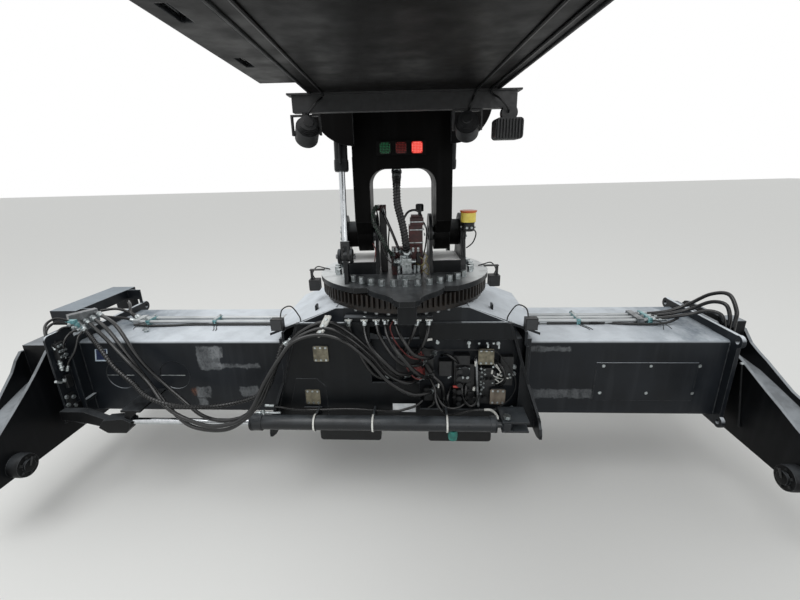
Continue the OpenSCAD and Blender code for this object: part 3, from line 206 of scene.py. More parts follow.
def makePaint(name, light="#1b1f24", dark="#121519", dustAndSheen="#d3dae0", dustAndSheenAmount=0.95, even=0.86,
              streaks=0.012, edgeWearAndHighlight=0.42, rough=0.40, shine=0.22, under=None):
    tree, shader, place = startMaterial(name, Specular_IOR_Level=shine)
    mix = dict(data_type="RGBA")
    normal = addNode(tree, "NewGeometry").outputs["Normal"]
    up = addNode(tree, "SeparateXYZ", (normal,)).outputs["Z"]
    tone = patches(tree, place, 450, 3, 0.35, 0.65)
    colour = addNode(tree, "Mix", {0: tone, 6: hexColour(dark), 7: hexColour(light)}, **mix)
    # painted shade: faces that look down take the under colour
    if under:
        shade = addNode(tree, "MapRange", (up, -0.3, -0.8))
        colour = addNode(tree, "Mix", {0: shade, 6: colour, 7: hexColour(under)}, **mix)
    # pale on what faces up: real dust and a painted reflection of the sky on the tops
    dustAndSheenTop = patches(tree, place, 160, 6, 0.36, 0.56, even, 1.0, rough=0.62)
    dustAndSheenTop = addNode(tree, "Math", (addNode(tree, "MapRange", (up, 0.25, 0.9)), dustAndSheenTop), operation="MULTIPLY")
    dustAndSheenTop = addNode(tree, "Math", (dustAndSheenTop, dustAndSheenAmount), operation="MULTIPLY")
    marks = patches(tree, place, 60, 4, 0.52, 0.78, 0.0, streaks, stretch=(1, 1, 0.08))
    grey = addNode(tree, "Math", (dustAndSheenTop, marks), operation="MAXIMUM")
    colour = addNode(tree, "Mix", {0: grey, 6: colour, 7: hexColour(dustAndSheen)}, **mix)
    # worn edges with a painted highlight along them, found where the rounded normal leaves the flat one
    rounded = addNode(tree, "Bevel", {"Radius": 0.006}, samples=3)
    bend = addNode(tree, "VectorMath", (rounded, normal), operation="DOT_PRODUCT")
    chips = patches(tree, place, 35, 5, 0.36, 0.62, 0.25, 1.0)
    wornAndLitEdge = addNode(tree, "Math", (addNode(tree, "MapRange", (bend, 0.985, 0.86)), chips),
                   operation="MULTIPLY")
    wornAndLitEdge = addNode(tree, "Math", (wornAndLitEdge, edgeWearAndHighlight), operation="MULTIPLY")
    colour = addNode(tree, "Mix", {0: wornAndLitEdge, 6: colour, 7: hexColour("#8d9295")}, **mix)
    gloss = patches(tree, place, 90, 4, 0.3, 0.7, rough - 0.07, rough + 0.10)
    gloss = addNode(tree, "Math", (gloss, addNode(tree, "Math", (dustAndSheenTop, 0.35), operation="MULTIPLY")))
    finishShader(tree, shader, colour, gloss, Height=patches(tree, place, 7, 2, 0, 1), Normal=rounded,
                 Strength=0.12, Distance=0.0012)


for name, paint in paintSettings.items():
    makePaint(name, **paint)


def openPaint(name, place=None):
    # a finished paint's tree, the point in a part's own frame and the way its surface faces
    tree = materials[name].node_tree
    local = addNode(tree, "TexCoord").outputs["Object"]
    if place:
        back = place.inverted()
        local = addNode(tree, "Mapping", {"Vector": local, "Location": tuple(back.translation),
                                          "Rotation": tuple(back.to_euler())}).outputs[0]
    facing = addNode(tree, "SeparateXYZ", (addNode(tree, "NewGeometry").outputs["Normal"],)).outputs
    return tree, local, facing


def markPaint(tree, colour, masks):
    # another colour on top of a finished paint, where all of the masks are
    base = tree.nodes["Principled BSDF"].inputs["Base Color"]
    mask = masks[0]
    for other in masks[1:]:
        mask = addNode(tree, "Math", (mask, other), operation="MULTIPLY")
    coat = addNode(tree, "Mix", {0: mask, 6: base.links[0].from_socket, 7: hexColour(colour)},
                   data_type="RGBA")
    tree.links.new(coat.outputs[2], base)


# the marks on top, in metres: pale dust with painted light far out on the slewing table, outside the boom's
# shadow; painted shade on the hose shelf under the table; on the main beam a darker top near both ends,
# patches rubbed through to grey and a rust spot
markSettings = dict(
    dustLitInner=0.40, dustLitOuter=0.55, dustLitBelow=(-1.53, -1.51), dustAndSheen="#cfd3d3", shelfHalf=0.44,
    shelfFront=-0.512,
    shelf="#14171a", darkerEndTop="#6d7780", darkerEndSpan=(1.75, 2.50), grey="#84888b", soft=0.012, ripples=14.0,
    ragged=0.07, rust="#6b4330", rustPlace=(-1.7, -0.41, -1.27), rustWide=0.04,
    # the rubbed patches: x and z of two corners in the beam's frame, and their strength
    scuffs=((-1.625, -1.425, -1.070, -0.845, 0.60), (-1.500, -1.395, -0.960, -0.850, 0.75),
            (-1.475, -1.095, -1.050, -1.002, 0.55), (-1.690, -1.560, -1.338, -1.226, 0.62),
            (-1.305, -1.140, -1.315, -1.215, 0.55), (-1.680, -1.600, -1.440, -1.335, 0.60),
            (1.035, 1.430, -0.900, -0.846, 0.42), (1.120, 1.640, -1.320, -1.225, 0.38)))


def dustAndLightTable(mark):
    tree, place, facing = openPaint("rotatorPaint")
    spot = addNode(tree, "SeparateXYZ", (place,)).outputs
    far = addNode(tree, "Math", (spot["X"],), operation="ABSOLUTE")
    # pale on the table's rim: dust and painted light where the boom's shadow ends
    markPaint(tree, mark["dustAndSheen"], [
        addNode(tree, "MapRange", (far, mark["dustLitInner"], mark["dustLitOuter"])),
        addNode(tree, "MapRange", (facing["Z"], 0.5, 0.95)),
        patches(tree, place, 120, 5, 0.34, 0.52, 0.72, 1.0),
        addNode(tree, "MapRange", (spot["Z"], *mark["dustLitBelow"], 1.0, 0.0))])


def shadeShelf(mark):
    tree, local, facing = openPaint("shelfPaint", swingPlace)
    spot, wide, front = addNode(tree, "SeparateXYZ", (local,)).outputs, mark["shelfHalf"], mark["shelfFront"]
    far = addNode(tree, "Math", (spot["X"],), operation="ABSOLUTE")
    # painted shade on the shelf's top under the slewing table
    markPaint(tree, mark["shelf"], [addNode(tree, "MapRange", (far, wide + 0.01, wide)),
                                    addNode(tree, "MapRange", (spot["Y"], front + 0.002, front - 0.004)),
                                    0.8])


def scuffBeam(mark):
    tree, local, facing = openPaint("scuffedPaint", beamPlace)
    # the point is shaken a little, which makes the patches' edges ragged
    warp = addNode(tree, "TexNoise", {"Vector": local, "Scale": mark["ripples"], "Detail": 4.0,
                                      "Roughness": 0.7})
    shake = addNode(tree, "VectorMath", (warp.outputs["Color"], (0.5, 0.5, 0.5)), operation="SUBTRACT")
    shake = addNode(tree, "VectorMath", {0: shake, "Scale": mark["ragged"]}, operation="SCALE")
    local = addNode(tree, "VectorMath", (local, shake), operation="ADD").outputs[0]
    spot = addNode(tree, "SeparateXYZ", (local,)).outputs
    outer = addNode(tree, "Math", (spot["X"],), operation="ABSOLUTE")
    # darker on the beam's top near both ends
    markPaint(tree, mark["darkerEndTop"], [
        addNode(tree, "MapRange", (outer, *mark["darkerEndSpan"])),
        addNode(tree, "MapRange", (facing["Z"], 0.25, 0.9)),
        patches(tree, local, 260, 5, 0.36, 0.60, 0.25, 0.95, (1, 0.5, 1), 0.7)])
    grain = patches(tree, local, 70, 7, 0.36, 0.60, 0.12, 1.0, (1.2, 1, 0.6), 0.8)
    front = addNode(tree, "MapRange", (facing["Y"], -0.75, -0.95))
    for left, right, low, high, strength in mark["scuffs"]:
        masks = [front, grain, strength]
        for axis, start, end in (("X", left, right), ("Z", low, high)):
            away = addNode(tree, "Math", (spot[axis], (start + end) / 2), operation="SUBTRACT")
            away, reach = addNode(tree, "Math", (away,), operation="ABSOLUTE"), (end - start) / 2
            masks.append(addNode(tree, "MapRange", (away, reach, reach - mark["soft"])))
        markPaint(tree, mark["grey"], masks)
    gap = addNode(tree, "VectorMath", (local, mark["rustPlace"]), operation="DISTANCE")
    markPaint(tree, mark["rust"], [addNode(tree, "MapRange", (gap, mark["rustWide"], mark["soft"])),
                                   patches(tree, local, 18, 5, 0.40, 0.58, 0.0, 1.0, (1.6, 1, 0.6), 0.75)])


dustAndLightTable(markSettings)
shadeShelf(markSettings)
scuffBeam(markSettings)

# Bare and plated metals: a base colour with stains, a roughness that wanders and fine lines from the
# machining.
metalSettings = dict(
    # hard chrome on a ground rod: mirror bright, with a thin film of oil
    chromedRod=dict(first="#c9cccf", second="#b4b8bb", patch=12, stretch=(1, 1, 0.3), low=0.10, high=0.17,
                    grain=2, depth=0.0001),
    # bright zinc plating on bolts, clamps and crimps: pale, slightly blue, dull in the corners
    zincPlating=dict(first="#c3c9cb", second="#8d9494", patch=25, low=0.25),
    # yellow chromated steel on the cover plates
    yellowZinc=dict(first="#7e7967", second="#5a5648", low=0.38, high=0.6, metal=0.3, grain=4, depth=0.0004),
    # the lower plate at the right, stained brown by leaked oil
    stainedZinc=dict(first="#7d7468", second="#544c43", patch=50, stretch=(1, 1, 0.4), low=0.38, high=0.6,
                     metal=0.35, grain=4, depth=0.0004),
    # steel pipe, drawn and galvanised: pale grey with dull blotches
    drawnPipe=dict(first="#c3c7c8", second="#a0a4a6", patch=55, stretch=(0.15, 1, 1), low=0.35, high=0.6,
                   metal=0.35),
    # machined gear steel under old grease: dark flanks with brown rust in the gaps
    greasedGear=dict(first="#141312", second="#221b16", patch=45, high=0.55, metal=0.35, grain=5,
                     depth=0.0008),
    # machined steel pins and rings, oiled
    oiledSteel=dict(first="#8d9092", second="#5f6264", patch=50, metal=0.9, grain=4, depth=0.0004),
    # forged twistlocks rubbed bare by the corner castings
    forgedSteel=dict(first="#77736e", second="#4b4642", patch=30, low=0.4, high=0.65, metal=0.7, grain=5,
                     depth=0.0010),
    # cast aluminium lamp housings with black powder coat
    lampCasting=dict(first="#1f2022", second="#131415", patch=30, low=0.45, high=0.6, metal=0.0,
                     depth=0.0004),
    # phosphated cast iron of the valve bodies, oily black
    valveIron=dict(first="#1c1e20", second="#0f1011", high=0.55, metal=0.1, grain=4, depth=0.0006))


def makeMetal(name, first, second, patch=40, stretch=(1, 1, 1), low=0.3, high=0.5, metal=1.0, grain=3,
              depth=0.0003):
    tree, shader, place = startMaterial(name, Metallic=metal)
    stain = patches(tree, place, patch, 5, stretch=stretch)
    colour = addNode(tree, "Mix", {0: stain, 6: hexColour(first), 7: hexColour(second)}, data_type="RGBA")
    gloss = patches(tree, place, patch * 0.6, 4, 0.3, 0.7, low, high, stretch)
    finishShader(tree, shader, colour, gloss, Height=patches(tree, place, grain, 3, 0, 1, stretch=stretch),
                 Strength=0.3, Distance=depth)


for name, metal in metalSettings.items():
    makeMetal(name, **metal)


def makeForkedRod(paint, below):
    # hard chrome down to the weld of the fork and black paint under it; the height is in mm in the hang frame
    makeMetal("forkedRod", **metalSettings["chromedRod"])
    tree, place, facing = openPaint("forkedRod")
    shader = tree.nodes["Principled BSDF"].inputs
    height = addNode(tree, "SeparateXYZ", (place,)).outputs["Z"]
    weld = [(below + gap) / 1000 - stance["headDrop"] for gap in (2, -2)]
    fork = addNode(tree, "MapRange", (height, *weld))
    tone = patches(tree, place, 60, 4)
    coat = addNode(tree, "Mix", {0: tone, 6: hexColour(paint["dark"]), 7: hexColour(paint["light"])},
                   data_type="RGBA")
    chrome, rough = (shader[key].links[0].from_socket for key in ("Base Color", "Roughness"))
    colour = addNode(tree, "Mix", {0: fork, 6: chrome, 7: coat}, data_type="RGBA")
    duller = addNode(tree, "Math", (rough, addNode(tree, "Math", (fork, 0.3), operation="MULTIPLY")))
    bare = addNode(tree, "Math", (1.0, fork), operation="SUBTRACT")
    for key, socket in (("Base Color", colour.outputs[2]), ("Roughness", duller.outputs[0]),
                        ("Metallic", bare.outputs[0])):
        tree.links.new(socket, shader[key])


makeForkedRod(paintSettings["panelPaint"], 14)

# Rubber, plastic and enamel: one base tone with slight marbling, dust with a painted sky highlight on the
# upward faces and a fine surface grain.
softSettings = dict(
    # synthetic rubber hose cover with the cloth mark of its curing wrap: black, half dull, long soft lights
    hoseRubber=dict(first="#0c0d0e", second="#141516", patch=50, rough=0.22, depth=0.0003, dustAndSheen=0.03),
    # abrasion sleeve in dark green textile
    greenSleeve=dict(first="#1c3a2a", second="#0e1f17", rough=0.6, grain=2, depth=0.0005, dustAndSheen=0.10),
    # spiral guard moulded in black polyethylene
    spiralGuard=dict(first="#0c0d0e", second="#151617", rough=0.30, dustAndSheen=0.05, shine=0.35),
    # matt black round the signal lamps
    signalBlack=dict(first="#060606", second="#0a0a0a", patch=60, rough=0.5, depth=0.0001, shine=0.1),
    # printed field of a sign, faded dark blue, left blank
    stickerBlue=dict(first="#1d2540", second="#2b3453", patch=50, depth=0.0001),
    # cable jackets in brown-red plastic
    redCable=dict(first="#7c302e", second="#552322", dustAndSheen=0.05),
    # grease cup moulded in yellow translucent plastic, with an orange rim
    yellowCup=dict(first="#e3d268", second="#cbb546", patch=60, rough=0.32),
    orangeRim=dict(first="#cf6a35", second="#ad5326"),
    # knob of a hand valve moulded in red
    redKnob=dict(first="#a8362f", second="#7e2722", patch=30),
    # thin cable jackets gone yellow with grease
    greasyCable=dict(first="#8f8558", second="#5d5638", patch=20, grain=2),
    # teal cap moulded in polypropylene
    tealCap=dict(first="#23796f", second="#185c55"),
    # clamp bodies of the same, bleached to a pale blue-green by the sun
    paleTeal=dict(first="#7fb0b3", second="#4d8288", patch=25, rough=0.45, dustAndSheen=0.2),
    # clamp halves moulded in natural white polyamide
    whiteClamp=dict(first="#d9dad6", second="#b9bab5", patch=30, rough=0.45, grain=2),
    # cable jackets, caps and feet moulded in black plastic
    blackPlastic=dict(first="#0b0c0d", second="#121314", patch=30, rough=0.34, grain=2, dustAndSheen=0.04,
                      shine=0.30),
    # cast iron distributor in red oxide primer under oil
    maroonCasting=dict(first="#4a1d1b", second="#251010", patch=50, rough=0.42, grain=4, depth=0.0008,
                       dustAndSheen=0.05),
    # blank white enamel plate
    whitePlate=dict(first="#dfe2e4", second="#c9ced2", patch=60, rough=0.35, depth=0.0001),
    # blank blue-white film sticker
    paleSticker=dict(first="#c2cfda", second="#a9b8c6", patch=60, depth=0.0001))


def makeSoft(name, first, second, patch=40, rough=0.4, grain=3, depth=0.0002, dustAndSheen=0.0, shine=0.5):
    tree, shader, place = startMaterial(name, Roughness=rough, Specular_IOR_Level=shine)
    up = addNode(tree, "SeparateXYZ", (addNode(tree, "NewGeometry").outputs["Normal"],)).outputs["Z"]
    tone = patches(tree, place, patch, 4)
    colour = addNode(tree, "Mix", {0: tone, 6: hexColour(first), 7: hexColour(second)}, data_type="RGBA")
    # pale on upward faces: dust and a painted sky highlight on the tops
    dustAndSheenTop = addNode(tree, "Math", (up, patches(tree, place, 30, 4, 0, 1)), operation="MULTIPLY")
    dustAndSheenTop = addNode(tree, "MapRange", (dustAndSheenTop, 0.1, 0.6, 0.0, dustAndSheen))
    colour = addNode(tree, "Mix", {0: dustAndSheenTop, 6: colour, 7: hexColour("#b9bbba")}, data_type="RGBA")
    finishShader(tree, shader, colour, None, Height=patches(tree, place, grain, 2, 0, 1), Strength=0.35,
                 Distance=depth)


for name, soft in softSettings.items():
    makeSoft(name, **soft)

# Moulded signal lenses: clear tinted acrylic over light dots. Only the right one is lit.
lensSettings = dict(
    lensGreen=("#0a2a19", 0.0), lensRed=("#3d0e0d", 0.0), lensLit=("#d63a30", 0.55),
    lampGlass=("#2a2d30", 0.0),
    dotGreen=("#2c7a50", 0.06), dotRed=("#8c2622", 0.06), dotLit=("#ff8478", 0.9))
for name, (tint, glow) in lensSettings.items():
    tree, shader, place = startMaterial(name, Roughness=0.12, IOR=1.49, Emission_Strength=glow)
    fleck = patches(tree, place, 5, 2, 0.3, 0.7, 0.75, 1.0)
    colour = addNode(tree, "VectorMath", {0: hexColour(tint)[:3], "Scale": fleck},
                     operation="SCALE").outputs[0]
    for key in ("Base Color", "Emission Color"):
        tree.links.new(colour, shader.inputs[key])
print("materials made:", len(materials))

# the CAD nodes of each finish; those left out are rubber hoses
nodeFinish = dict(
    sectionPaint="boom_section boom_tray", shadedBoomPaint="boom_head",
    lampCasting="boom_lamps rotator_lamps frame_lamps",
    signalBlack="signal_lamps", oiledSteel="tilt_pins slew_ring hose_ports", rotatorPaint="rotator_plate",
    zincPlating="valve_block", maroonCasting="manifold", yellowCup="lubricator",
    panelPaint="pinion_guard tilt_barrel_l tilt_barrel_r shift_panels", forkedRod="tilt_rod_l tilt_rod_r",
    greasedGear="slew_gear", shelfPaint="shift_frame", barrelPaint="shift_barrel", valveIron="valve_bank",
    blackPlastic="frame_feet", scuffedPaint="main_beam", anthracitePaint="beam_flanges",
    chromedRod="shift_rod", bracketPaint="rod_bracket", guardPaint="hose_guard", drawnPipe="beam_pipes",
    armPaint="left_inner right_inner left_end right_end", forgedSteel="lock_lf lock_lb lock_rf lock_rb")


def finishNodes(finishes):
    chosen = {node: finish for finish, nodes in finishes.items() for node in nodes.split()}
    for node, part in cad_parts.items():
        material = materials[chosen.get(node, "hoseRubber")]
        if not part.data.materials:
            part.data.materials.append(material)
        for slot in part.material_slots:
            slot.material = material


finishNodes(nodeFinish)
print("CAD nodes finished")


# pieces are drawn in millimetres in the frame of what carries them
def addBox(shape, low, high):
    corners = [shape.verts.new((x, y, z)) for z in (low[2], high[2]) for x, y in
               ((low[0], low[1]), (high[0], low[1]), (high[0], high[1]), (low[0], high[1]))]
    for face in ((3, 2, 1, 0), (4, 5, 6, 7), (0, 1, 5, 4), (1, 2, 6, 5), (2, 3, 7, 6), (3, 0, 4, 7)):
        shape.faces.new([corners[i] for i in face])


def addLathe(shape, start, way, rings, sides=24):
    # rings are pairs of a distance along the axis and a radius; rings that close on themselves leave the
    # bore open
    start, way = Vector(start), Vector(way).normalized()
    side = way.orthogonal().normalized()
    other = way.cross(side)
    hollow = rings[0] == rings[-1]
    turns = [2 * math.pi * k / sides for k in range(sides)]
    spokes = [side * math.cos(turn) + other * math.sin(turn) for turn in turns]
    loops = [[shape.verts.new(start + way * far + spoke * radius) for spoke in spokes]
             for far, radius in (rings[:-1] if hollow else rings)]
    if hollow:
        loops.append(loops[0])
    for below, above in zip(loops, loops[1:]):
        for k in range(sides):
            shape.faces.new((below[k], below[(k + 1) % sides], above[(k + 1) % sides], above[k]))
    if not hollow:
        shape.faces.new(loops[0][::-1])
        shape.faces.new(loops[-1])


def addRod(shape, start, end, radius, sides=20, chamfer=0.15):
    start, end = Vector(start), Vector(end)
    far, cut = (end - start).length, radius * chamfer
    rings = [(0, radius - cut), (cut, radius), (far - cut, radius), (far, radius - cut)]
    addLathe(shape, start, end - start, rings, sides)


def addPlate(shape, outline, low, high):
    # outline points are x and z, pushed from low to high in y
    lower, upper = ([shape.verts.new((x, y, z)) for x, z in outline] for y in (low, high))
    shape.faces.new(lower[::-1])
    shape.faces.new(upper)
    for k in range(len(outline)):
        after = (k + 1) % len(outline)
        shape.faces.new((lower[k], lower[after], upper[after], upper[k]))


def plainMesh(piece):
    # the mesh that the modifiers make
    bpy.context.view_layer.update()
    return bpy.data.meshes.new_from_object(piece.evaluated_get(bpy.context.evaluated_depsgraph_get()))


def finishPiece(name, shape, body, finish, bevel=1.5, smooth=True, place=None):
    bmesh.ops.recalc_face_normals(shape, faces=shape.faces)
    mesh = bpy.data.meshes.new(name)
    shape.transform((place or carried[body]) @ Matrix.Scale(0.001, 4))
    shape.to_mesh(mesh)
    shape.free()
    piece = bpy.data.objects.new(name, mesh)
    bpy.context.scene.collection.objects.link(piece)
    mesh.materials.append(materials[finish])
    if smooth:
        mesh.shade_smooth()
        mesh.set_sharp_from_angle(angle=math.radians(42))
    if bevel:
        edges = piece.modifiers.new("softEdges", "BEVEL")
        edges.width, edges.segments = bevel / 1000, 2
        edges.limit_method, edges.angle_limit = "ANGLE", math.radians(40)
        mesh = plainMesh(piece)
        piece.modifiers.clear()
        piece.data = mesh
    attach(piece, body)
    return piece


# Geometry Nodes: a tree is a group with named inputs in metres, ending in Realize Instances and Set Material
def startTree(name, **inputs):
    tree = bpy.data.node_groups.new(name, "GeometryNodeTree")
    tree.interface.new_socket(name="shape", in_out="INPUT", socket_type="NodeSocketGeometry")
    for label, value in inputs.items():
        kind = "NodeSocketInt" if isinstance(value, int) else "NodeSocketFloat"
        tree.interface.new_socket(name=label, in_out="INPUT", socket_type=kind).default_value = value
    tree.interface.new_socket(name="finish", in_out="INPUT", socket_type="NodeSocketMaterial")
    tree.interface.new_socket(name="shape", in_out="OUTPUT", socket_type="NodeSocketGeometry")
    return tree, addNode(tree, "NodeGroupInput").outputs


def endTree(tree, made, given, smooth=True):
    real = addNode(tree, "GeometryNodeRealizeInstances", (made,))
    shaded = addNode(tree, "GeometryNodeSetShadeSmooth", {"Geometry": real, "Shade Smooth": smooth})
    done = addNode(tree, "GeometryNodeSetMaterial", {"Geometry": shaded, "Material": given["finish"]})
    addNode(tree, "NodeGroupOutput", (done,))
    return tree


def endOnPoints(tree, thing, given):
    # one on each point, turned to the point's facing
    facing = addNode(tree, "GeometryNodeInputNamedAttribute", ("facing",), data_type="FLOAT_VECTOR")
    turn = addNode(tree, "FunctionNodeAlignRotationToVector", {"Vector": facing}, axis="Z")
    spread = addNode(tree, "GeometryNodeInstanceOnPoints",
                     {"Points": given["shape"], "Instance": thing, "Rotation": turn})
    return endTree(tree, spread, given, smooth=False)


def makeBoltTree():
    # a hexagon head on a washer
    tree, given = startTree("hexBolts", headWidth=0.036, headHeight=0.015, washerWidth=0.05,
                            washerHeight=0.004, sides=6)
    both = addNode(tree, "GeometryNodeJoinGeometry")
    for part, sides, under in (("washer", 16, 0.0), ("head", given["sides"], given["washerHeight"])):
        wide, high = given[part + "Width"], given[part + "Height"]
        radius, middle = (addNode(tree, "Math", (size, 0.5), operation="MULTIPLY") for size in (wide, high))
        disc = addNode(tree, "GeometryNodeMeshCylinder", {"Vertices": sides, "Radius": radius, "Depth": high},
                       fill_type="NGON")
        lift = addNode(tree, "CombineXYZ", {2: addNode(tree, "Math", (middle, under))})
        raised = addNode(tree, "GeometryNodeTransform", {"Geometry": disc, "Translation": lift})
        tree.links.new(raised.outputs[0], both.inputs[0])
    return endOnPoints(tree, both, given)


def makeHoseTree():
    # a round hose along each curve
    tree, given = startTree("roundHose", hoseRadius=0.015, step=0.02, sides=14)
    path = addNode(tree, "GeometryNodeResampleCurve", {"Curve": given["shape"], "Length": given["step"]},
                   mode="LENGTH")
    ring = addNode(tree, "GeometryNodeCurvePrimitiveCircle",
                   {"Resolution": given["sides"], "Radius": given["hoseRadius"]}, mode="RADIUS")
    hose = addNode(tree, "GeometryNodeCurveToMesh", {"Curve": path, "Profile Curve": ring, "Fill Caps": True})
    return endTree(tree, hose, given)


def makeWrapTree():
    # a spiral guard wound round each curve
    tree, given = startTree("spiralWrap", wrapRadius=0.017, pitch=0.022, stripRadius=0.0045)
    step = addNode(tree, "Math", (given["pitch"], 9.0), operation="DIVIDE")
    path = addNode(tree, "GeometryNodeResampleCurve", {"Curve": given["shape"], "Length": step},
                   mode="LENGTH")
    far = addNode(tree, "GeometryNodeSplineParameter").outputs["Length"]
    angle = addNode(tree, "Math", (far, given["pitch"]), operation="DIVIDE")
    angle = addNode(tree, "Math", (angle, 2 * math.pi), operation="MULTIPLY")
    out = addNode(tree, "GeometryNodeInputNormal")
    across = addNode(tree, "VectorMath", (addNode(tree, "GeometryNodeInputTangent"), out),
                     operation="CROSS_PRODUCT")
    legs = []
    for way, operation in ((out, "COSINE"), (across, "SINE")):
        leg = addNode(tree, "Math", (angle,), operation=operation)
        legs.append(addNode(tree, "VectorMath", {0: way, "Scale": leg}, operation="SCALE"))
    spoke = addNode(tree, "VectorMath", legs, operation="ADD")
    offset = addNode(tree, "VectorMath", {0: spoke, "Scale": given["wrapRadius"]}, operation="SCALE")
    moved = addNode(tree, "GeometryNodeSetPosition", {"Geometry": path, "Offset": offset})
    ring = addNode(tree, "GeometryNodeCurvePrimitiveCircle",
                   {"Resolution": 6, "Radius": given["stripRadius"]},
                   mode="RADIUS")
    strip = addNode(tree, "GeometryNodeCurveToMesh", {"Curve": moved, "Profile Curve": ring,
                                                      "Fill Caps": True})
    return endTree(tree, strip, given)


boltTree, hoseTree, wrapTree = makeBoltTree(), makeHoseTree(), makeWrapTree()


def bakeTree(piece, tree, finish, values):
    maker = piece.modifiers.new("maker", "NODES")
    maker.node_group = tree
    values = dict(values, finish=materials[finish])
    for item in tree.interface.items_tree:
        if item.in_out == "INPUT" and item.name in values:
            maker[item.identifier] = values[item.name]
    plain = bpy.data.objects.new(piece.name + "Mesh", plainMesh(piece))
    bpy.context.scene.collection.objects.link(plain)
    bpy.data.objects.remove(piece)
    return plain


def placeBolts(name, spots, body, finish="zincPlating", wide=36, sides=6, flat=0.42, washer=1.35):
    # spots are pairs of a point in mm and the way that it faces; a hexagon is 15 % wider over its corners
    place, mesh = carried[body], bpy.data.meshes.new(name)
    mesh.from_pydata([place @ (Vector(spot) / 1000) for spot, way in spots], [], [])
    facing = mesh.attributes.new("facing", "FLOAT_VECTOR", "POINT")
    turn = place.to_3x3()
    facing.data.foreach_set("vector", [c for spot, way in spots for c in turn @ Vector(way)])
    piece = bpy.data.objects.new(name, mesh)
    bpy.context.scene.collection.objects.link(piece)
    bolts = bakeTree(piece, boltTree, finish, dict(
        headWidth=wide / 1000 * (1.15 if sides == 6 else 1), headHeight=wide * flat / 1000,
        washerWidth=wide * washer / 1000, washerHeight=wide * 0.1 / 1000, sides=sides))
    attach(bolts, body)
    return bolts


def smoothPath(points, parts=8):
    # the same smooth curve through the points as the CAD hoses follow
    path, last = [], len(points) - 1
    p = [Vector(q) for q in points]
    for i in range(last):
        a, b, c, d = p[max(i - 1, 0)], p[i], p[i + 1], p[min(i + 2, last)]
        bend, twist = 2 * a - 5 * b + 4 * c - d, 3 * b - a - 3 * c + d
        for t in (k / parts for k in range(parts)):
            path.append(0.5 * (2 * b + (c - a) * t + bend * t * t + twist * t ** 3))
    return path + [p[last]]


def layHoses(name, routes, place, finish, tree=hoseTree, **values):
    data = bpy.data.curves.new(name, "CURVE")
    data.dimensions = "3D"
    for path in (smoothPath(route) for route in routes):
        spline = data.splines.new("POLY")
        spline.points.add(len(path) - 1)
        for point, where in zip(spline.points, path):
            point.co = (*(place @ (where / 1000)), 1)
    piece = bpy.data.objects.new(name, data)
    bpy.context.scene.collection.objects.link(piece)
    return bakeTree(piece, tree, finish, values)


# hoses, along the routes of the CAD model; radii and pitches in metres
hoseSizes = dict(
    tube=dict(hoseRadius=0.015, step=0.018), wrap=dict(wrapRadius=0.016, pitch=0.024, stripRadius=0.0036),
    headTube=dict(hoseRadius=0.026, step=0.018), headWrap=dict(wrapRadius=0.0265, pitch=0.021,
                                                               stripRadius=0.0048),
    valveTube=dict(hoseRadius=0.011, step=0.015), valveWrap=dict(wrapRadius=0.0125, pitch=0.019,
                                                                 stripRadius=0.0036),
    sagStart=(-2.45, -0.5, -1.0), sagEnd=(-1.05, -0.5, -1.0), headTop=(0, -0.3, 0.40),
    headFoot=(0, -0.3, -0.05))
sagRoutes = [
    [(-2620, -250, -620), (-2370, -400, -670), (-2170, -500, -910), (-2010, -530, -1090),
     (-1800, -590, -1250), (-1620, -690, -1310), (-1440, -780, -1300), (-1310, -790, -1290),
     (-1200, -790, -1250), (-1080, -755, -1160), (-1000, -700, -980), (-890, -650, -780), (-760, -620, -640),
     (-560, -605, -560), (-400, -612, -640), (-220, -620, -810), (-120, -600, -960), (-40, -565, -1040),
     (30, -490, -1065)],
    [(-2660, -280, -640), (-2410, -440, -700), (-2210, -530, -910), (-2040, -580, -1130),
     (-1810, -720, -1275), (-1640, -800, -1340), (-1460, -825, -1360), (-1320, -840, -1335),
     (-1220, -835, -1280), (-1120, -810, -1190), (-1000, -745, -970), (-900, -695, -800), (-780, -660, -670),
     (-580, -630, -600), (-410, -650, -660), (-230, -655, -820), (-110, -645, -980), (40, -610, -1070),
     (140, -490, -1085)],
    [(-2700, -310, -660), (-2430, -470, -750), (-2220, -570, -890), (-2040, -620, -1070),
     (-1840, -750, -1205), (-1640, -815, -1275), (-1450, -870, -1290), (-1300, -880, -1270),
     (-1200, -880, -1230), (-1110, -855, -1150), (-1010, -790, -960), (-900, -740, -800), (-790, -700, -680),
     (-610, -665, -640), (-420, -690, -680), (-250, -695, -830), (-110, -685, -1010), (60, -650, -1140),
     (190, -570, -1180), (240, -490, -1190)],
    [(-2680, -380, -690), (-2440, -540, -800), (-2290, -620, -930), (-2120, -680, -1040),
     (-1960, -780, -1090), (-1800, -805, -1140), (-1660, -760, -1200), (-1510, -670, -1250),
     (-1360, -620, -1250), (-1200, -620, -1200), (-1070, -620, -1110), (-1010, -600, -980),
     (-965, -590, -860), (-935, -560, -780), (-893, -520, -755)]]
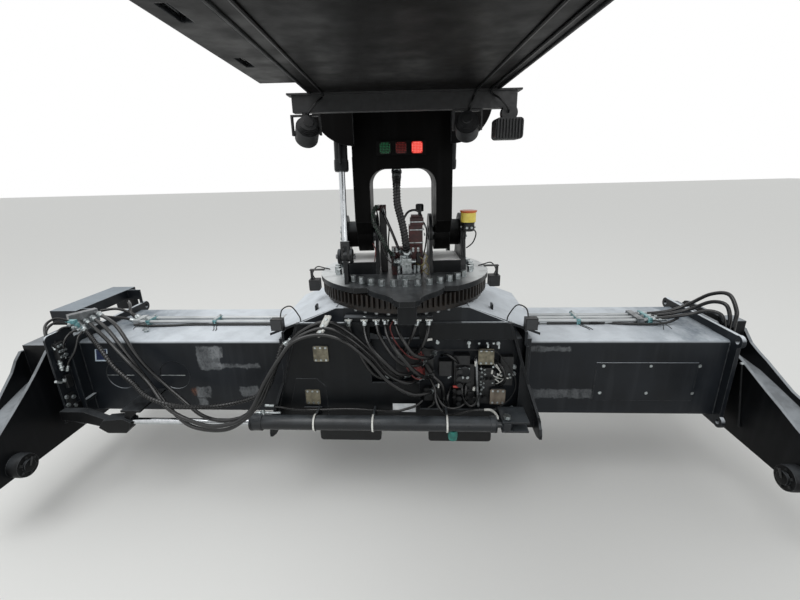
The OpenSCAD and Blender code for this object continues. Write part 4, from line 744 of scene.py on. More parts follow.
dropRoutes = [
    [(-400, -570, -558), (-395, -570, -640), (-330, -568, -840), (-250, -568, -990), (-180, -540, -1060),
     (-110, -490, -1070)],
    [(-280, -570, -558), (-270, -630, -640), (-230, -700, -710), (-130, -730, -820), (-30, -690, -940),
     (60, -600, -990), (95, -490, -1000)],
    [(-190, -570, -558), (-170, -640, -630), (-120, -680, -720), (-50, -700, -810), (30, -660, -890),
     (130, -570, -930), (160, -490, -940)],
    [(-120, -575, -558), (-110, -660, -620), (-60, -730, -700), (10, -750, -790), (100, -710, -920),
     (190, -600, -1030), (220, -490, -1050)],
    [(-40, -570, -558), (-30, -640, -610), (20, -690, -690), (90, -690, -790), (200, -600, -860),
     (240, -490, -880)],
    [(120, -570, -558), (90, -610, -640), (40, -600, -750), (0, -560, -850), (-20, -490, -890)],
    [(200, -570, -558), (190, -630, -640), (160, -640, -720), (120, -600, -800), (70, -550, -850),
     (40, -490, -860)]]
loopRoutes = [
    [(2190, 90, -765), (2400, 70, -735), (2550, 40, -660), (2640, -60, -540), (2690, -190, -500),
     (2700, -290, -600), (2697, -306, -690), (2697, -310, -830)],
    [(2190, 20, -765), (2390, 10, -735), (2540, -20, -680), (2620, -110, -590), (2675, -200, -580),
     (2692, -250, -660), (2695, -260, -740), (2697, -262, -830)],
    [(2190, -50, -765), (2380, -60, -735), (2510, -80, -705), (2600, -130, -660), (2665, -190, -670),
     (2690, -212, -740), (2697, -215, -830)]]
headRoutes = [[(-46, -140, 478), (-47, -190, 440), (-48, -285, 404), (-48, -308, 340), (-46, -316, 262),
     (-30, -328, 190), (-14, -342, 125), (0, -352, 50), (10, -352, -30), (18, -322, -92), (20, -258, -115)]]
valveRoutes = [
    [(-205, -112, 226), (-220, -180, 222), (-230, -258, 190), (-226, -314, 140), (-200, -335, 71),
     (-168, -340, 12), (-141, -335, -48), (-114, -305, -100), (-80, -258, -135)],
    [(-165, -112, 204), (-150, -170, 168), (-103, -232, 66), (-72, -272, -7), (-50, -292, -64),
     (-30, -258, -112)]]


def makeHoses(size):
    sag = layHoses("saggingHoses", sagRoutes, swingPlace, "hoseRubber", **size["tube"])
    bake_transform(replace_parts(sag, "sagging_hoses"))
    guard = layHoses("sagGuard", [sagRoutes[3]], swingPlace, "spiralGuard", wrapTree, **size["wrap"])
    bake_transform(guard)
    drops = layHoses("frontHoses", dropRoutes, swingPlace, "hoseRubber", **size["tube"])
    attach(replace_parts(drops, "frame_hoses"), "shift_frame")
    loops = layHoses("endLoops", loopRoutes, beamPlace, "hoseRubber", **size["tube"])
    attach(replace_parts(loops, "beam_hoses"), "beam")
    head = layHoses("headHoses", headRoutes, hangPlace, "hoseRubber", **size["headTube"])
    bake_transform(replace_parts(head, "boom_hoses"))
    ribs = layHoses("headGuard", headRoutes, hangPlace, "spiralGuard", wrapTree, **size["headWrap"])
    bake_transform(ribs)
    valves = layHoses("valveHoses", valveRoutes, hangPlace, "hoseRubber", **size["valveTube"])
    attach(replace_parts(valves, "valve_hoses"), "rotator")
    green = layHoses("valveGuard", valveRoutes[:1], hangPlace, "greenSleeve", wrapTree, **size["valveWrap"])
    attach(green, "rotator")


makeHoses(hoseSizes)
print("hoses laid")


# makers of plain pieces, all called with a name, shapes, body, finish and size
def boxPiece(name, boxes, body, finish, bevel=2):
    shape = bmesh.new()
    for low, high in boxes:
        addBox(shape, low, high)
    finishPiece(name, shape, body, finish, bevel)


def rodPiece(name, rods, body, finish, sides=20):
    shape = bmesh.new()
    for start, end, radius in rods:
        addRod(shape, start, end, radius, sides)
    finishPiece(name, shape, body, finish, 0)


def lathePiece(name, turned, body, finish, sides=28):
    shape = bmesh.new()
    for start, way, rings in turned:
        addLathe(shape, start, way, rings, sides)
    finishPiece(name, shape, body, finish, 0)


def runCables(name, routes, body, finish, radius, step=0.012):
    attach(layHoses(name, routes, carried[body], finish, hoseRadius=radius / 1000, step=step, sides=8), body)


makers = dict(boxes=boxPiece, rods=rodPiece, turned=lathePiece, cables=runCables, bolts=placeBolts)


def makeRows(rows, body):
    # a row is a name, a finish, a size (bevel, sides, cable radius or bolt width) and the shapes
    for kind, maker in makers.items():
        for name, finish, size, shapes in rows.get(kind, ()):
            maker(name, shapes, body, finish, size)


# crimped couplings at the hoses' ends: the crimp from the hose's end face back along the hose, the nut
# before it
crimpSizes = dict(
    rings=[(-1, 15.5), (0, 19), (5, 20.5), (14, 19.5), (17, 20.5), (27, 20.5), (30, 18.5), (42, 19.2),
           (50, 15.6)],
    nut=[(0, 20), (2, 23), (19, 23), (21, 20)])


def crimpHoses(name, ends, body, scale=1.0, place=None):
    # ends are pairs of the hose's end point and another point of its route
    shape, nuts = bmesh.new(), bmesh.new()
    for end, inner in ends:
        end, inner = Vector(end), Vector(inner)
        rings, nut = ([(far * scale, radius * scale) for far, radius in crimpSizes[key]]
                      for key in ("rings", "nut"))
        addLathe(shape, end, inner - end, rings, 20)
        addLathe(nuts, end, end - inner, nut, 6)
    finishPiece(name + "Crimps", shape, body, "zincPlating", 0, place=place)
    finishPiece(name + "Nuts", nuts, body, "zincPlating", 0, False, place)


def firstEnds(routes):
    return [(path[0], path[2]) for path in (smoothPath(route) for route in routes)]


def lastEnds(routes):
    return [(path[-1], path[-3]) for path in (smoothPath(route) for route in routes)]


crimpHoses("sagStart", firstEnds(sagRoutes), "beam", place=swingPlace)
crimpHoses("sagFinish", lastEnds(sagRoutes), "shift_frame")
crimpHoses("dropStart", firstEnds(dropRoutes), "shift_frame")
crimpHoses("dropFinish", lastEnds(dropRoutes), "shift_frame")
crimpHoses("loopEnds", firstEnds(loopRoutes) + lastEnds(loopRoutes), "beam")
crimpHoses("bundleTop", firstEnds(headRoutes), "boom", 1.75)
crimpHoses("bundleFoot", lastEnds(headRoutes), "rotator", 1.75)
crimpHoses("valveEnds", firstEnds(valveRoutes) + lastEnds(valveRoutes), "rotator", 0.75)
print("couplings made")

# the rotator: studs and nuts of the slew ring through the plate, none under the ears, and the rim's bolts
# from below
ringBolts = dict(count=40, radius=563, wide=42, stud=20, plateTop=-300, earX=475, earHalf=45, earY=260,
                 rim=640, rimCount=44, rimWide=30, rimFoot=-479.5)


def around(count, radius):
    turns = [2 * math.pi * k / count for k in range(count)]
    return [(radius * math.sin(turn), -radius * math.cos(turn)) for turn in turns]


def makeRotator(ring):
    spots = [(x, y) for x, y in around(ring["count"], ring["radius"])
             if abs(abs(x) - ring["earX"]) >= ring["earHalf"] or abs(y) >= ring["earY"]]
    top, under = ring["plateTop"], ring["rimFoot"]
    placeBolts("ringNuts", [((x, y, top), (0, 0, 1)) for x, y in spots], "rotator", "zincPlating",
               ring["wide"], 6,
               1.0, 1.25)
    studs = [((x, y, top + 10), (x, y, top + 38), ring["stud"] / 2) for x, y in spots]
    rodPiece("ringStuds", studs, "rotator", "oiledSteel", 10)
    rim = [((x, y, under), (0, 0, -1)) for x, y in around(ring["rimCount"], ring["rim"])]
    placeBolts("rimBolts", rim, "shift_frame", "oiledSteel", ring["rimWide"])


makeRotator(ringBolts)

# ears, pins and tilt cylinders; the cylinders' pins stand at eyeY and topY, in front on the left, behind on
# the right
pinSettings = dict(
    keeper=[(0, 74), (2, 77), (10, 77), (12, 74)], keeperX=499.5, circle=56, boltWide=20,
    collar=[(0, 92), (2, 96), (5, 96), (7, 92)], collarX=(374, 440),
    lids=[((-453, -198, -200), (-232, 198, -197)), ((232, -198, -200), (453, 198, -197))],
    cylinders=(("l", -438, -1), ("r", 427, 1)), eyeY=430, eyeZ=-100, topY=240, topZ=1250,
    eyePin=[(-20, 50), (-16, 57), (2, 57), (3, 19.5), (69, 19.5), (70, 57), (88, 57), (92, 50)],
    gland=[(0, 48), (3, 51.6), (54, 51.6), (57, 48)], nose=[(0, 44), (2, 47), (9, 47), (12, 30)],
    upperX=610.5, upper=[(0, 34), (2, 36), (9, 36), (11, 33)])


def makeCylinder(pins, side, x, s):
    piston, barrel, mark = "tilt_piston_" + side, "tilt_cylinder_" + side, side.upper()
    top, eye = Vector((x, s * pins["topY"], pins["topZ"])), Vector((x, s * pins["eyeY"], pins["eyeZ"]))
    way, front = (eye - top).normalized(), Vector((0, -1, 0))
    lathePiece("eyePin" + mark, [((x - 36, *eye.yz), (1, 0, 0), pins["eyePin"])], piston, "panelPaint", 36)
    bolts = [((x + t * 56, *eye.yz), (t, 0, 0)) for t in (-1, 1)]
    placeBolts("eyeBolts" + mark, bolts, piston, "oiledSteel", 30)
    rings = [(top + way * 690, way, pins["gland"]), (top + way * 749, way, pins["nose"])]
    lathePiece("gland" + mark, rings, barrel, "panelPaint")
    pipe = [(top + way * start + front * 60, top + way * end + front * out, 8)
            for start, end, out in ((90, 700, 60), (96, 96, 36), (694, 694, 36))]
    rodPiece("cylinderPipe" + mark, pipe, barrel, "panelPaint", 12)
    clips = [(top + way * far + Vector((-18, -72, -9)), top + way * far + Vector((18, -40, 9)))
             for far in (250, 520)]
    boxPiece("pipeClips" + mark, clips, barrel, "zincPlating")


def makePins(pins):
    far = pins["keeperX"]
    keepers = [((s * far, 0, 0), (s, 0, 0), pins["keeper"]) for s in (-1, 1)]
    lathePiece("pinKeepers", keepers, "boom", "rotatorPaint", 36)
    bolts = [((s * (far + 12), pins["circle"] * math.sin(math.pi * k / 3),
               pins["circle"] * math.cos(math.pi * k / 3)),
              (s, 0, 0)) for s in (-1, 1) for k in range(6)]
    placeBolts("keeperBolts", bolts, "boom", "zincPlating", pins["boltWide"])
    # the boxes between the ears are lids under pale dust, made near white as a painted sky reflection in the
    # boom's shadow
    boxPiece("earLids", pins["lids"], "rotator", "sheenLidPaint", 1)
    collars = [((s * x, 0, 0), (s, 0, 0), pins["collar"]) for s in (-1, 1) for x in pins["collarX"]]
    lathePiece("bossCollars", collars, "boom", "shadedBoomPaint", 36)
    for side, x, s in pins["cylinders"]:
        makeCylinder(pins, side, x, s)
    # the upper pins' heads on the wings' outer faces
    heads = [((s * pins["upperX"], s * pins["topY"], pins["topZ"]), (s, 0, 0), pins["upper"])
             for s in (-1, 1)]
    lathePiece("upperPinHeads", heads, "boom", "oiledSteel")


makePins(pinSettings)
print("rotator and pins made")

# signal lamps on the head: three round-cornered faces with light dots
signalSettings = dict(faces=((-125, "lensGreen"), (-9, "lensRed"), (107, "lensLit")), height=654, front=-270,
                      half=40, corner=15, dots=7, margin=8, dotWide=7)


def makeSignals(signal):
    half, corner, deep, high = signal["half"], signal["corner"], signal["front"], signal["height"]
    last, inset = signal["dots"] - 1, half - signal["margin"]
    for x, finish in signal["faces"]:
        outline = []
        for k, (sx, sz) in enumerate(((1, 1), (-1, 1), (-1, -1), (1, -1))):
            for turn in (math.pi / 2 * (k + step / 4) for step in range(5)):
                outline.append((x + sx * (half - corner) + corner * math.cos(turn),
                                high + sz * (half - corner) + corner * math.sin(turn)))
        shape = bmesh.new()
        addPlate(shape, outline, deep - 3, deep)
        finishPiece(finish + "Face", shape, "boom", finish, 0.8)
        dots = [((x - inset + i * 2 * inset / last, deep - 3, high - inset + j * 2 * inset / last),
                 (0, -1, 0))
                for i in range(last + 1) for j in range(last + 1) if not (i in (0, last) and j in (0, last))]
        placeBolts(finish + "Dots", dots, "boom", finish.replace("lens", "dot"), signal["dotWide"], 8, 0.3,
                   0.9)


makeSignals(signalSettings)

# working lamps: cooling fins at the back, glass at the front, and their cables
lampSettings = dict(
    square=(493, 676), fins=9, finPitch=14.5, roundOnes=((-472, 682, 58, 20), (299, 688, 64, -10)),
    barY=-1270, glass=[(41, 50), (43, 51), (45, 49)], tableX=775, frameX=950,
    boomCables=[
        [(493, -1270, 740), (480, -1320, 760), (440, -1330, 800), (400, -1300, 838), (400, -1500, 846),
         (402, -2400, 846)],
        [(-472, -1270, 745), (-440, -1320, 770), (-400, -1325, 810), (-380, -1290, 840), (-380, -1500, 846),
         (-384, -2400, 846)],
        [(299, -1270, 750), (310, -1310, 790), (330, -1300, 838), (334, -1500, 846), (336, -2400, 846)]])


def makeLamps(lamps):
    x, z = lamps["square"]
    fins = [((x - 60 + k * lamps["finPitch"], -1326, z - 42), (x - 56 + k * lamps["finPitch"], -1314, z + 42))
            for k in range(lamps["fins"])]
    boxPiece("squareFins", fins, "boom", "lampCasting", 0.6)
    boxPiece("squareGlass", [((x - 56, -1226, z - 38), (x + 56, -1222, z + 38))], "boom", "lampGlass", 1)
    for k, (x, z, tip, turn) in enumerate(lamps["roundOnes"]):
        tip, turn = math.radians(tip), math.radians(turn)
        way = Vector((math.sin(tip) * math.sin(turn), -math.sin(tip) * math.cos(turn), math.cos(tip)))
        middle, rings = Vector((x, lamps["barY"], z)), [(42, 24)]
        for n in range(4):
            rings += [(44 + n * 8, 24), (45 + n * 8, 50 - 3 * n), (48 + n * 8, 50 - 3 * n), (49 + n * 8, 24)]
        lathePiece("roundFins%d" % k, [(middle, way, rings + [(78, 22)])], "boom", "lampCasting", 32)
        lathePiece("roundGlass%d" % k, [(middle, -way, lamps["glass"])], "boom", "lampGlass", 32)
    for s, mark in ((-1, "L"), (1, "R")):
        x = s * lamps["tableX"]
        fins = [((x - 40, -46 + k * 15, -472), (x + 40, -42 + k * 15, -379)) for k in range(7)]
        boxPiece("tableFins" + mark, fins, "rotator", "lampCasting", 0.6)
        cable = [(x, 20, -385), (s * 800, 45, -340), (s * 760, 60, -285), (s * 690, 40, -292),
                 (s * 640, 10, -296)]
        runCables("tableCable" + mark, [cable], "rotator", "blackPlastic", 5)
        x = s * lamps["frameX"]
        boxPiece("frameGlass" + mark, [((x - 38, -592, -634), (x + 38, -587.5, -556))], "shift_frame",
                 "lampGlass", 1)
        fins = [((x - 41 + k * 11, -534, -636), (x - 38 + k * 11, -520, -554)) for k in range(8)]
        boxPiece("frameFins" + mark, fins, "shift_frame", "lampCasting", 0.6)
        cable = [(s * 940, -520, -570), (s * 925, -500, -500), (s * 860, -480, -480), (s * 800, -485, -560),
                 (s * 790, -500, -598)]
        runCables("frameCable" + mark, [cable], "shift_frame", "blackPlastic", 5)
    runCables("boomCables", lamps["boomCables"], "boom", "blackPlastic", 5)


makeLamps(lampSettings)
print("lamps made")

# the boom: weld seams under the box, on the wings and the head, and cables in the tray
boomSettings = dict(seamX=436, tail=-4440, front=-1225, low=850, tray=((-575, 10), (-548, 10), (-520, 8)),
                    traySpots=((0, -4150), (6, -3200), (-5, -2200), (0, -1560)))


def makeBoom(boom):
    low = boom["low"]
    seams = [((x, boom["tail"], low - 1), (x, boom["front"], low - 1), 5)
             for x in (-boom["seamX"], boom["seamX"])]
    rodPiece("boomSeams", seams + [((-430, -1212, low + 2), (430, -1212, low + 2), 5)], "boom", "shadedBoomPaint",
             8)
    routes = [[(x + aside, y, low + 12 + radius) for aside, y in boom["traySpots"]] for x,
              radius in boom["tray"]]
    runCables("trayCables", routes, "boom", "hoseRubber", 10, 0.04)
    seams = [((s * x, y, z), (s * x, y, 1440), 4) for x, y, z in ((332, -423, 680), (588, -400, 950))
             for s in (-1, 1)]
    rodPiece("wingSeams", seams, "boom", "shadedBoomPaint", 8)
    seams = [((s * 372, y, 130), (s * 372, y, 600), 3) for s in (-1, 1) for y in (-210, 210)]
    rodPiece("headSeams", seams, "boom", "shadedBoomPaint", 8)


makeBoom(boomSettings)

# the rotator's valves between the legs; the tall valve is black, with a steel crosspiece
valveSettings = dict(
    boxes=[("motorBlocks", "maroonCasting", 3,
            [((52, -160, 80), (158, -66, 140)), ((60, -150, 140), (150, -76, 160))]),
           ("motorFlanges", "zincPlating", 1,
            [((47, -169, 42), (163, -58, 50)), ((49, -166, 104), (161, -60, 112)), ((36, -169, -60),
             (154, -58, -52))]),
           ("blackBlocks", "valveIron", 2,
            [((-96, -240, -230), (-40, -226, -150)), ((96, -250, -280), (128, -226, -120))]),
           ("silverBlocks", "zincPlating", 3,
            [((-35, -322, -226), (26, -226, -129)), ((-7, -326, -262), (63, -300, -234))]),
           ("coverStrap", "rotatorPaint", 2, [((-60, -396, -259.5), (120, -245, -256))]),
           ("tallCase", "valveIron", 4, [((-193, -98, -298), (-137, -22, 188))])],
    rods=[("silverFittings", "zincPlating", 12,
           [((-82, -300, -180), (-35, -300, -180), 20), ((-62, -300, -180), (-35, -300, -180), 26),
            ((26, -300, -180), (87, -300, -180), 20), ((26, -300, -180), (50, -300, -180), 27),
            ((130, -112, 160), (130, -112, 190), 14), ((-165, -60, 240), (-165, -60, 236), 20)])],
    turned=[("motorKnob", "blackPlastic", 28,
             [((130, -112, 184), (0, 0, 1), [(0, 22), (3, 32), (50, 32), (58, 26), (60, 20)])])],
    cables=[("blackArc", "hoseRubber", 9,
             [[(3, -205, 145), (35, -205, 190), (82, -200, 204), (120, -190, 190), (136, -170, 160)]]),
            ("greasyCables", "greasyCable", 3.5,
             [[(118, -262, -150), (150, -290, -180), (130, -300, -230), (170, -290, -280), (190, -262, -296)],
              [(186, -262, -146), (160, -300, -170), (176, -305, -220), (140, -300, -260), (120, -268, -297)],
              [(90, -262, -200), (120, -310, -210), (165, -300, -196), (190, -270, -230), (180, -262, -296)],
              [(150, -262, -120), (176, -286, -150), (150, -310, -200), (100, -300, -270),
               (70, -270, -297)]]),
            ("redLoop", "redCable", 4,
             [[(-246, -205, -50), (-240, -240, -48), (-226, -256, -80), (-228, -250, -130),
               (-240, -215, -190)]]),
            ("thinCables", "hoseRubber", 6,
             [[(-160, -30, 150), (-120, -20, 60), (-130, -10, -100), (-110, -60, -200)],
              [(160, -70, 100), (190, -40, 20), (180, -20, -120), (150, -30, -240)],
              [(-215, -60, 200), (-200, -130, 120), (-190, -150, -20), (-150, -170, -160),
               (-90, -228, -220)]])],
    bolts=[("motorBolts", "zincPlating", 14, [((x, -225.5, z), (0, -1, 0)) for x in (-88, -60, 70, 110)
                                              for z in (-110, -92)]
            + [((165, y, z), (1, 0, 0)) for y in (-140, -80) for z in (0, 70)]),
           ("blockBolts", "oiledSteel", 12, [((x, -322.5, z), (0, -1, 0)) for x in (-24, 15)
                                             for z in (-215, -140)])])
makeRows(valveSettings, "rotator")

# the grease cup with its pump on the right ear; the ports' ring has a radius and a height
greaseSettings = dict(
    place=(500, -225), ports=(50, 66), portTurns=(-1.9, -1.2, -0.4, 0.4, 1.9, 2.8),
    parts=(("cupRim", "orangeRim", [(176, 56), (181, 62), (190, 66), (193, 66), (195, 58)]),
           ("cupBody", "yellowCup", [(108, 50), (112, 57), (176, 58.5), (178, 54)]),
           ("cupPump", "valveIron", [(36, 40), (40, 48), (96, 48.5), (104, 52), (106, 40)])),
    hoses=[
        [(530, -225, 60), (560, -240, 20), (545, -200, -60), (505, -150, -110)],
        [(470, -250, 50), (450, -290, 0), (460, -270, -100), (480, -215, -170)]])


def makeGreaseCup(cup):
    (x, y), (far, high) = cup["place"], cup["ports"]
    for name, finish, rings in cup["parts"]:
        lathePiece(name, [((x, y, 0), (0, 0, 1), rings)], "rotator", finish, 36)
    runCables("greaseLines", cup["hoses"], "rotator", "blackPlastic", 5)
    ways = [Vector((math.cos(turn), math.sin(turn), 0)) for turn in cup["portTurns"]]
    placeBolts("pumpPorts", [(Vector((x, y, high)) + way * far, way) for way in ways], "rotator",
               "zincPlating", 14)


makeGreaseCup(greaseSettings)
print("head and grease cup made")

# the driver's side of the shift frame: covers, clamps, valves and cables
panelSettings = dict(
    face=-550,
    # plates: x, z, half width, half height and the distance behind the face; the last one is stained
    covers=((-638, -844, 59, 66, -8), (-733, -1226, 59, 66, -8), (638, -874, 60, 66, 4),
            (741, -1222, 60, 66, 4)),
    boxes=[("bayBlocks", "valveIron", 3,
            [((590, -546, -915), (690, -445, -835)), ((692, -546, -1290), (788, -445, -1152)),
             ((412, -532, -1108), (524, -445, -978)), ((396, -520, -960), (520, -445, -880)),
             ((604, -520, -1190), (700, -445, -985)), ((160, -500, -1290), (300, -445, -1180)),
             ((280, -515, -1060), (380, -445, -930)), ((-60, -480, -1090), (240, -445, -840))]),
           ("blankLabel", "whitePlate", 1, [((-91, -553, -1364), (94, -550.3, -1287))])],
    rods=[("coverLedge", "panelPaint", 8, [((-810, -566, -1318), (-664, -566, -1316), 6)]),
          ("whiteBits", "whiteClamp", 10,
           [((565, -530, -918), (566, -532, -960), 14), ((557, -524, -1148), (556, -526, -1178), 11),
            ((279, -524, -1118), (276, -526, -1156), 8), ((170, -560, -728), (226, -562, -720), 10),
            ((720, -524, -950), (746, -528, -985), 5), ((742, -526, -992), (764, -528, -1020), 5),
            ((732, -524, -1030), (768, -526, -1052), 5), ((716, -524, -1076), (748, -528, -1098), 5),
            ((790, -520, -1066), (822, -522, -1072), 6), ((694, -526, -998), (690, -528, -1030), 7)]),
          ("redKnob", "redKnob", 14, [((390, -540, -1136), (438, -540, -1140), 10)]),
          ("hosePlug", "blackPlastic", 20, [((172, -478, -968), (222, -520, -1030), 24),
                                            ((222, -520, -1030), (240, -528, -1052), 19)]),
          ("solenoids", "blackPlastic", 16, [((x, -500, z), (x, -548, z), 17) for x, z in
                                             ((404, -1176), (520, -1200), (404, -1240), (560, -1246))])],
    turned=[("valveTop", "rotatorPaint", 36, [((476, -532, -1014), (0, -1, 0),
                                               [(0, 46), (5, 49), (9, 44), (10, 20)])]),
            ("tealCap", "tealCap", 28,
             [((380, -720, -1404), (0, 0, -1), [(0, 30), (3, 36), (62, 37), (84, 33), (90, 24)])])],
    cables=[("thickHose", "hoseRubber", 14,
             [[(178, -470, -978), (234, -528, -1048), (306, -536, -1128), (323, -524, -1265),
               (316, -470, -1400)]]),
            ("thinArc", "blackPlastic", 4.5,
             [[(118, -556, -779), (200, -558, -808), (330, -558, -813), (523, -556, -813), (676, -556, -817),
               (723, -556, -838), (806, -558, -941), (857, -562, -1029), (872, -562, -1126),
               (838, -560, -1227), (778, -558, -1292), (724, -556, -1325)]]),
            ("redCables", "redCable", 5,
             [[(-60, -576, -560), (-86, -610, -600), (-70, -632, -660), (-38, -628, -730), (20, -600, -820),
              (70, -580, -868), (120, -545, -892), (160, -480, -890)], [(-20, -500, -900), (24, -560, -950),
              (70, -566, -1029), (126, -560, -1061), (170, -500, -1050)]]
              + [[(30 + 10 * k, -490, -850 - 12 * k), (70 + 16 * k, -530 - 6 * k, -880 + 14 * k),
              (120 + 8 * k, -526, -866 - 12 * k), (160, -488, -900 - 16 * k)] for k in range(5)]
              + [[(40 + 12 * k, -490, -1000 - 8 * k), (80 + 12 * k, -524 - 5 * k, -990 + 10 * k),
              (130 + 6 * k, -520, -1012 - 8 * k), (166, -486, -1000 - 12 * k)] for k in range(5)]),
            ("bayHoses", "hoseRubber", 11,
             [[(240, -470, -1190), (300, -540, -1290), (380, -550, -1330), (470, -530, -1310),
               (520, -480, -1250)],
              [(300, -470, -900), (340, -530, -860), (400, -545, -900), (440, -500, -960)],
              [(460, -500, -1120), (462, -540, -1170), (468, -545, -1225), (493, -548, -1276),
               (533, -550, -1306), (573, -545, -1280), (588, -535, -1200), (590, -500, -1150)],
              [(496, -500, -1120), (492, -540, -1160), (490, -545, -1230), (505, -520, -1270)],
              [(252, -520, -1180), (256, -560, -1250), (293, -590, -1320), (350, -602, -1352),
               (454, -602, -1336), (533, -602, -1314), (632, -602, -1306)],
              [(380, -470, -1180), (350, -540, -1230), (360, -545, -1320), (420, -500, -1350)],
              [(210, -470, -1100), (250, -520, -1180), (240, -530, -1290), (200, -480, -1360)],
              [(700, -470, -930), (760, -545, -960), (790, -550, -1060), (760, -520, -1140),
               (720, -480, -1160)]]),
            ("greyPipe", "oiledSteel", 11,
             [[(565, -500, -905), (568, -534, -930), (580, -536, -1120), (594, -534, -1300),
               (600, -500, -1322)]]),
            ("paleWires", "whiteClamp", 3,
             [[(704, -500, -950), (722, -536, -968), (752, -540, -1000), (744, -528, -1046),
               (716, -500, -1070)],
              [(690, -500, -1030), (712, -534, -1050), (756, -538, -1066), (786, -500, -1090)],
              [(760, -500, -968), (790, -532, -1010), (782, -536, -1070), (744, -520, -1116),
               (730, -500, -1130)]]),
            ("silverElbow", "whiteClamp", 10,
             [[(632, -602, -1306), (668, -604, -1304), (692, -612, -1306), (710, -650, -1306),
               (716, -700, -1300), (716, -718, -1312)]])],
    bolts=[("lugNut", "zincPlating", 44, [((785, -720, -1297), (0, 0, 1))])],
    nuts=((463, -530, -1058), (502, -530, -1058), (345, -532, -613), (635, -532, -614), (503, -552, -755),
          (722, -552, -760), (267, -552, -751), (163, -552, -1051)),
    smallNuts=((359, -480, -1090), (374, -480, -1076), (700, -520, -973), (691, -520, -1013),
               (740, -520, -1040), (773, -500, -1057), (734, -500, -1085), (831, -500, -1048),
               (841, -500, -1075), (700, -520, -1112), (504, -552, -783), (579, -552, -760),
               (640, -552, -758), (689, -552, -760), (440, -530, -985), (512, -530, -985),
               (614, -506, -1220), (486, -505, -1240)),
    balls=((602, -977), (630, -990), (611, -1017), (635, -1026), (609, -1053), (629, -1075), (606, -1089),
           (627, -1108), (607, -1125), (626, -1143), (613, -1166)),
    clampSpots=(-400, -280, -190, -120, -40, 120, 200), clips=((262, -738), (503, -772), (646, -772),
                                                               (728, -780)),
    stack=((-540, -606, -512), (-618, -642, -656)))


def makeCovers(panel):
    # plates with cut corners
    shapes, bolts, cut = [bmesh.new(), bmesh.new()], [], 8
    for k, (x, z, wide, high, behind) in enumerate(panel["covers"]):
        deep = panel["face"] + behind
        outline = [(x + sx * (wide - dx), z + sz * (high - dz)) for sx, sz, dx, dz in (
            (-1, -1, 0, cut), (-1, -1, cut, 0), (1, -1, cut, 0), (1, -1, 0, cut),
            (1, 1, 0, cut), (1, 1, cut, 0), (-1, 1, cut, 0), (-1, 1, 0, cut))]
        addPlate(shapes[k == len(panel["covers"]) - 1], outline, deep - 5, deep)
        bolts += [((x + dx, deep - 5, z + dz), (0, -1, 0)) for dx in (-40, 0, 40) for dz in (-52, 52)]
    finishPiece("coverPlates", shapes[0], "shift_frame", "yellowZinc")
    finishPiece("stainedPlate", shapes[1], "shift_frame", "stainedZinc")
    placeBolts("coverBolts", bolts, "shift_frame", "zincPlating", 13)


def makeStackClamp(panel):
    # two bars and five ribs over the hoses on the panel's top, with a foot on the panel
    top, foot = (Vector(spot) for spot in panel["stack"])
    shape = bmesh.new()
    for side in (-11, 11):
        addRod(shape, top + Vector((side, 0, 0)), foot + Vector((side, 0, 0)), 15, 12, 0.2)
    for k in range(5):
        spot = top + (foot - top) * (0.08 + 0.21 * k)
        addRod(shape, spot + Vector((-24, 4, 0)), spot + Vector((24, 4, 0)), 13, 12, 0.25)
    addRod(shape, foot, Vector((foot.x - 8, -552, foot.z - 34)), 14, 10)
    finishPiece("stackClamp", shape, "shift_frame", "whiteClamp", 1, False)
    bolts = [(top + (foot - top) * far + Vector((0, -15, 6)), (0, -0.85, 0.5)) for far in (0.18, 0.5, 0.82)]
    placeBolts("stackBolts", bolts, "shift_frame", "zincPlating", 16)


def makePanel(panel):
    makeCovers(panel)
    makeRows(panel, "shift_frame")
    for name, key, wide in (("valveNuts", "nuts", 22), ("smallNuts", "smallNuts", 13)):
        spots = [((x, y - 0.5, z), (0, -1, 0)) for x, y, z in panel[key]]
        placeBolts(name, spots, "shift_frame", "zincPlating", wide)
    balls = [((x, -505, z), (x + 3, -541 + (k % 3) * 6, z - 4), 9.5 - (k % 2) * 1.5)
             for k, (x, z) in enumerate(panel["balls"])]
    rodPiece("silverBalls", balls, "shift_frame", "zincPlating", 10)
    # clamps under the shelf, one on each hose, and the hose stack's clamp on the panel's top
    clamps = [((x - 26, -596, -562), (x + 26, -545, -549)) for x in panel["clampSpots"]]
    boxPiece("shelfClamps", clamps, "shift_frame", "whiteClamp", 3)
    bolts = [((x + dx, -596, -555), (0, -1, 0)) for x in panel["clampSpots"] for dx in (-18, 18)]
    placeBolts("clampBolts", bolts, "shift_frame", "zincPlating", 10)
    makeStackClamp(panel)
    clips = [((x - 6, -561, z - 22), (x + 6, -550, z + 8)) for x, z in panel["clips"]]
    boxPiece("arcClips", clips, "shift_frame", "zincPlating", 1)


makePanel(panelSettings)
print("driver's side made")

# bands and end rings of the side-shift cylinder, seams and bolts of the frame
shiftSettings = dict(
    y=-720, z=-1355, bands=(-687, -233, 335), band=[(0, 60), (0.5, 66.5), (13.5, 66.5), (14, 60), (0, 60)],
    rings=((-1196, [(0, 33), (2, 63), (6, 66), (30, 66), (32, 60), (32, 33), (0, 33)]),
           (690, [(0, 58), (2, 63.5), (17, 63.5), (20, 50)])),
    hose=[[(-1020, -650, -1262), (-958, -640, -1276), (-843, -620, -1305), (-707, -596, -1322),
         (-415, -590, -1316), (-89, -590, -1334), (17, -585, -1316), (100, -575, -1290), (150, -560, -1250)]],
    rods=[("leftFittings", "zincPlating", 12,
           [((-1160, -690, -1292), (-962, -690, -1291), 11), ((-1101, -700, -1310),
            (-1101, -690, -1262), 15), ((-1090, -672, -1236), (-1022, -660, -1246), 12),
            ((-1140, -694, -1292), (-1120, -694, -1292), 17)])],
    coverX=(-560, 0, 560))


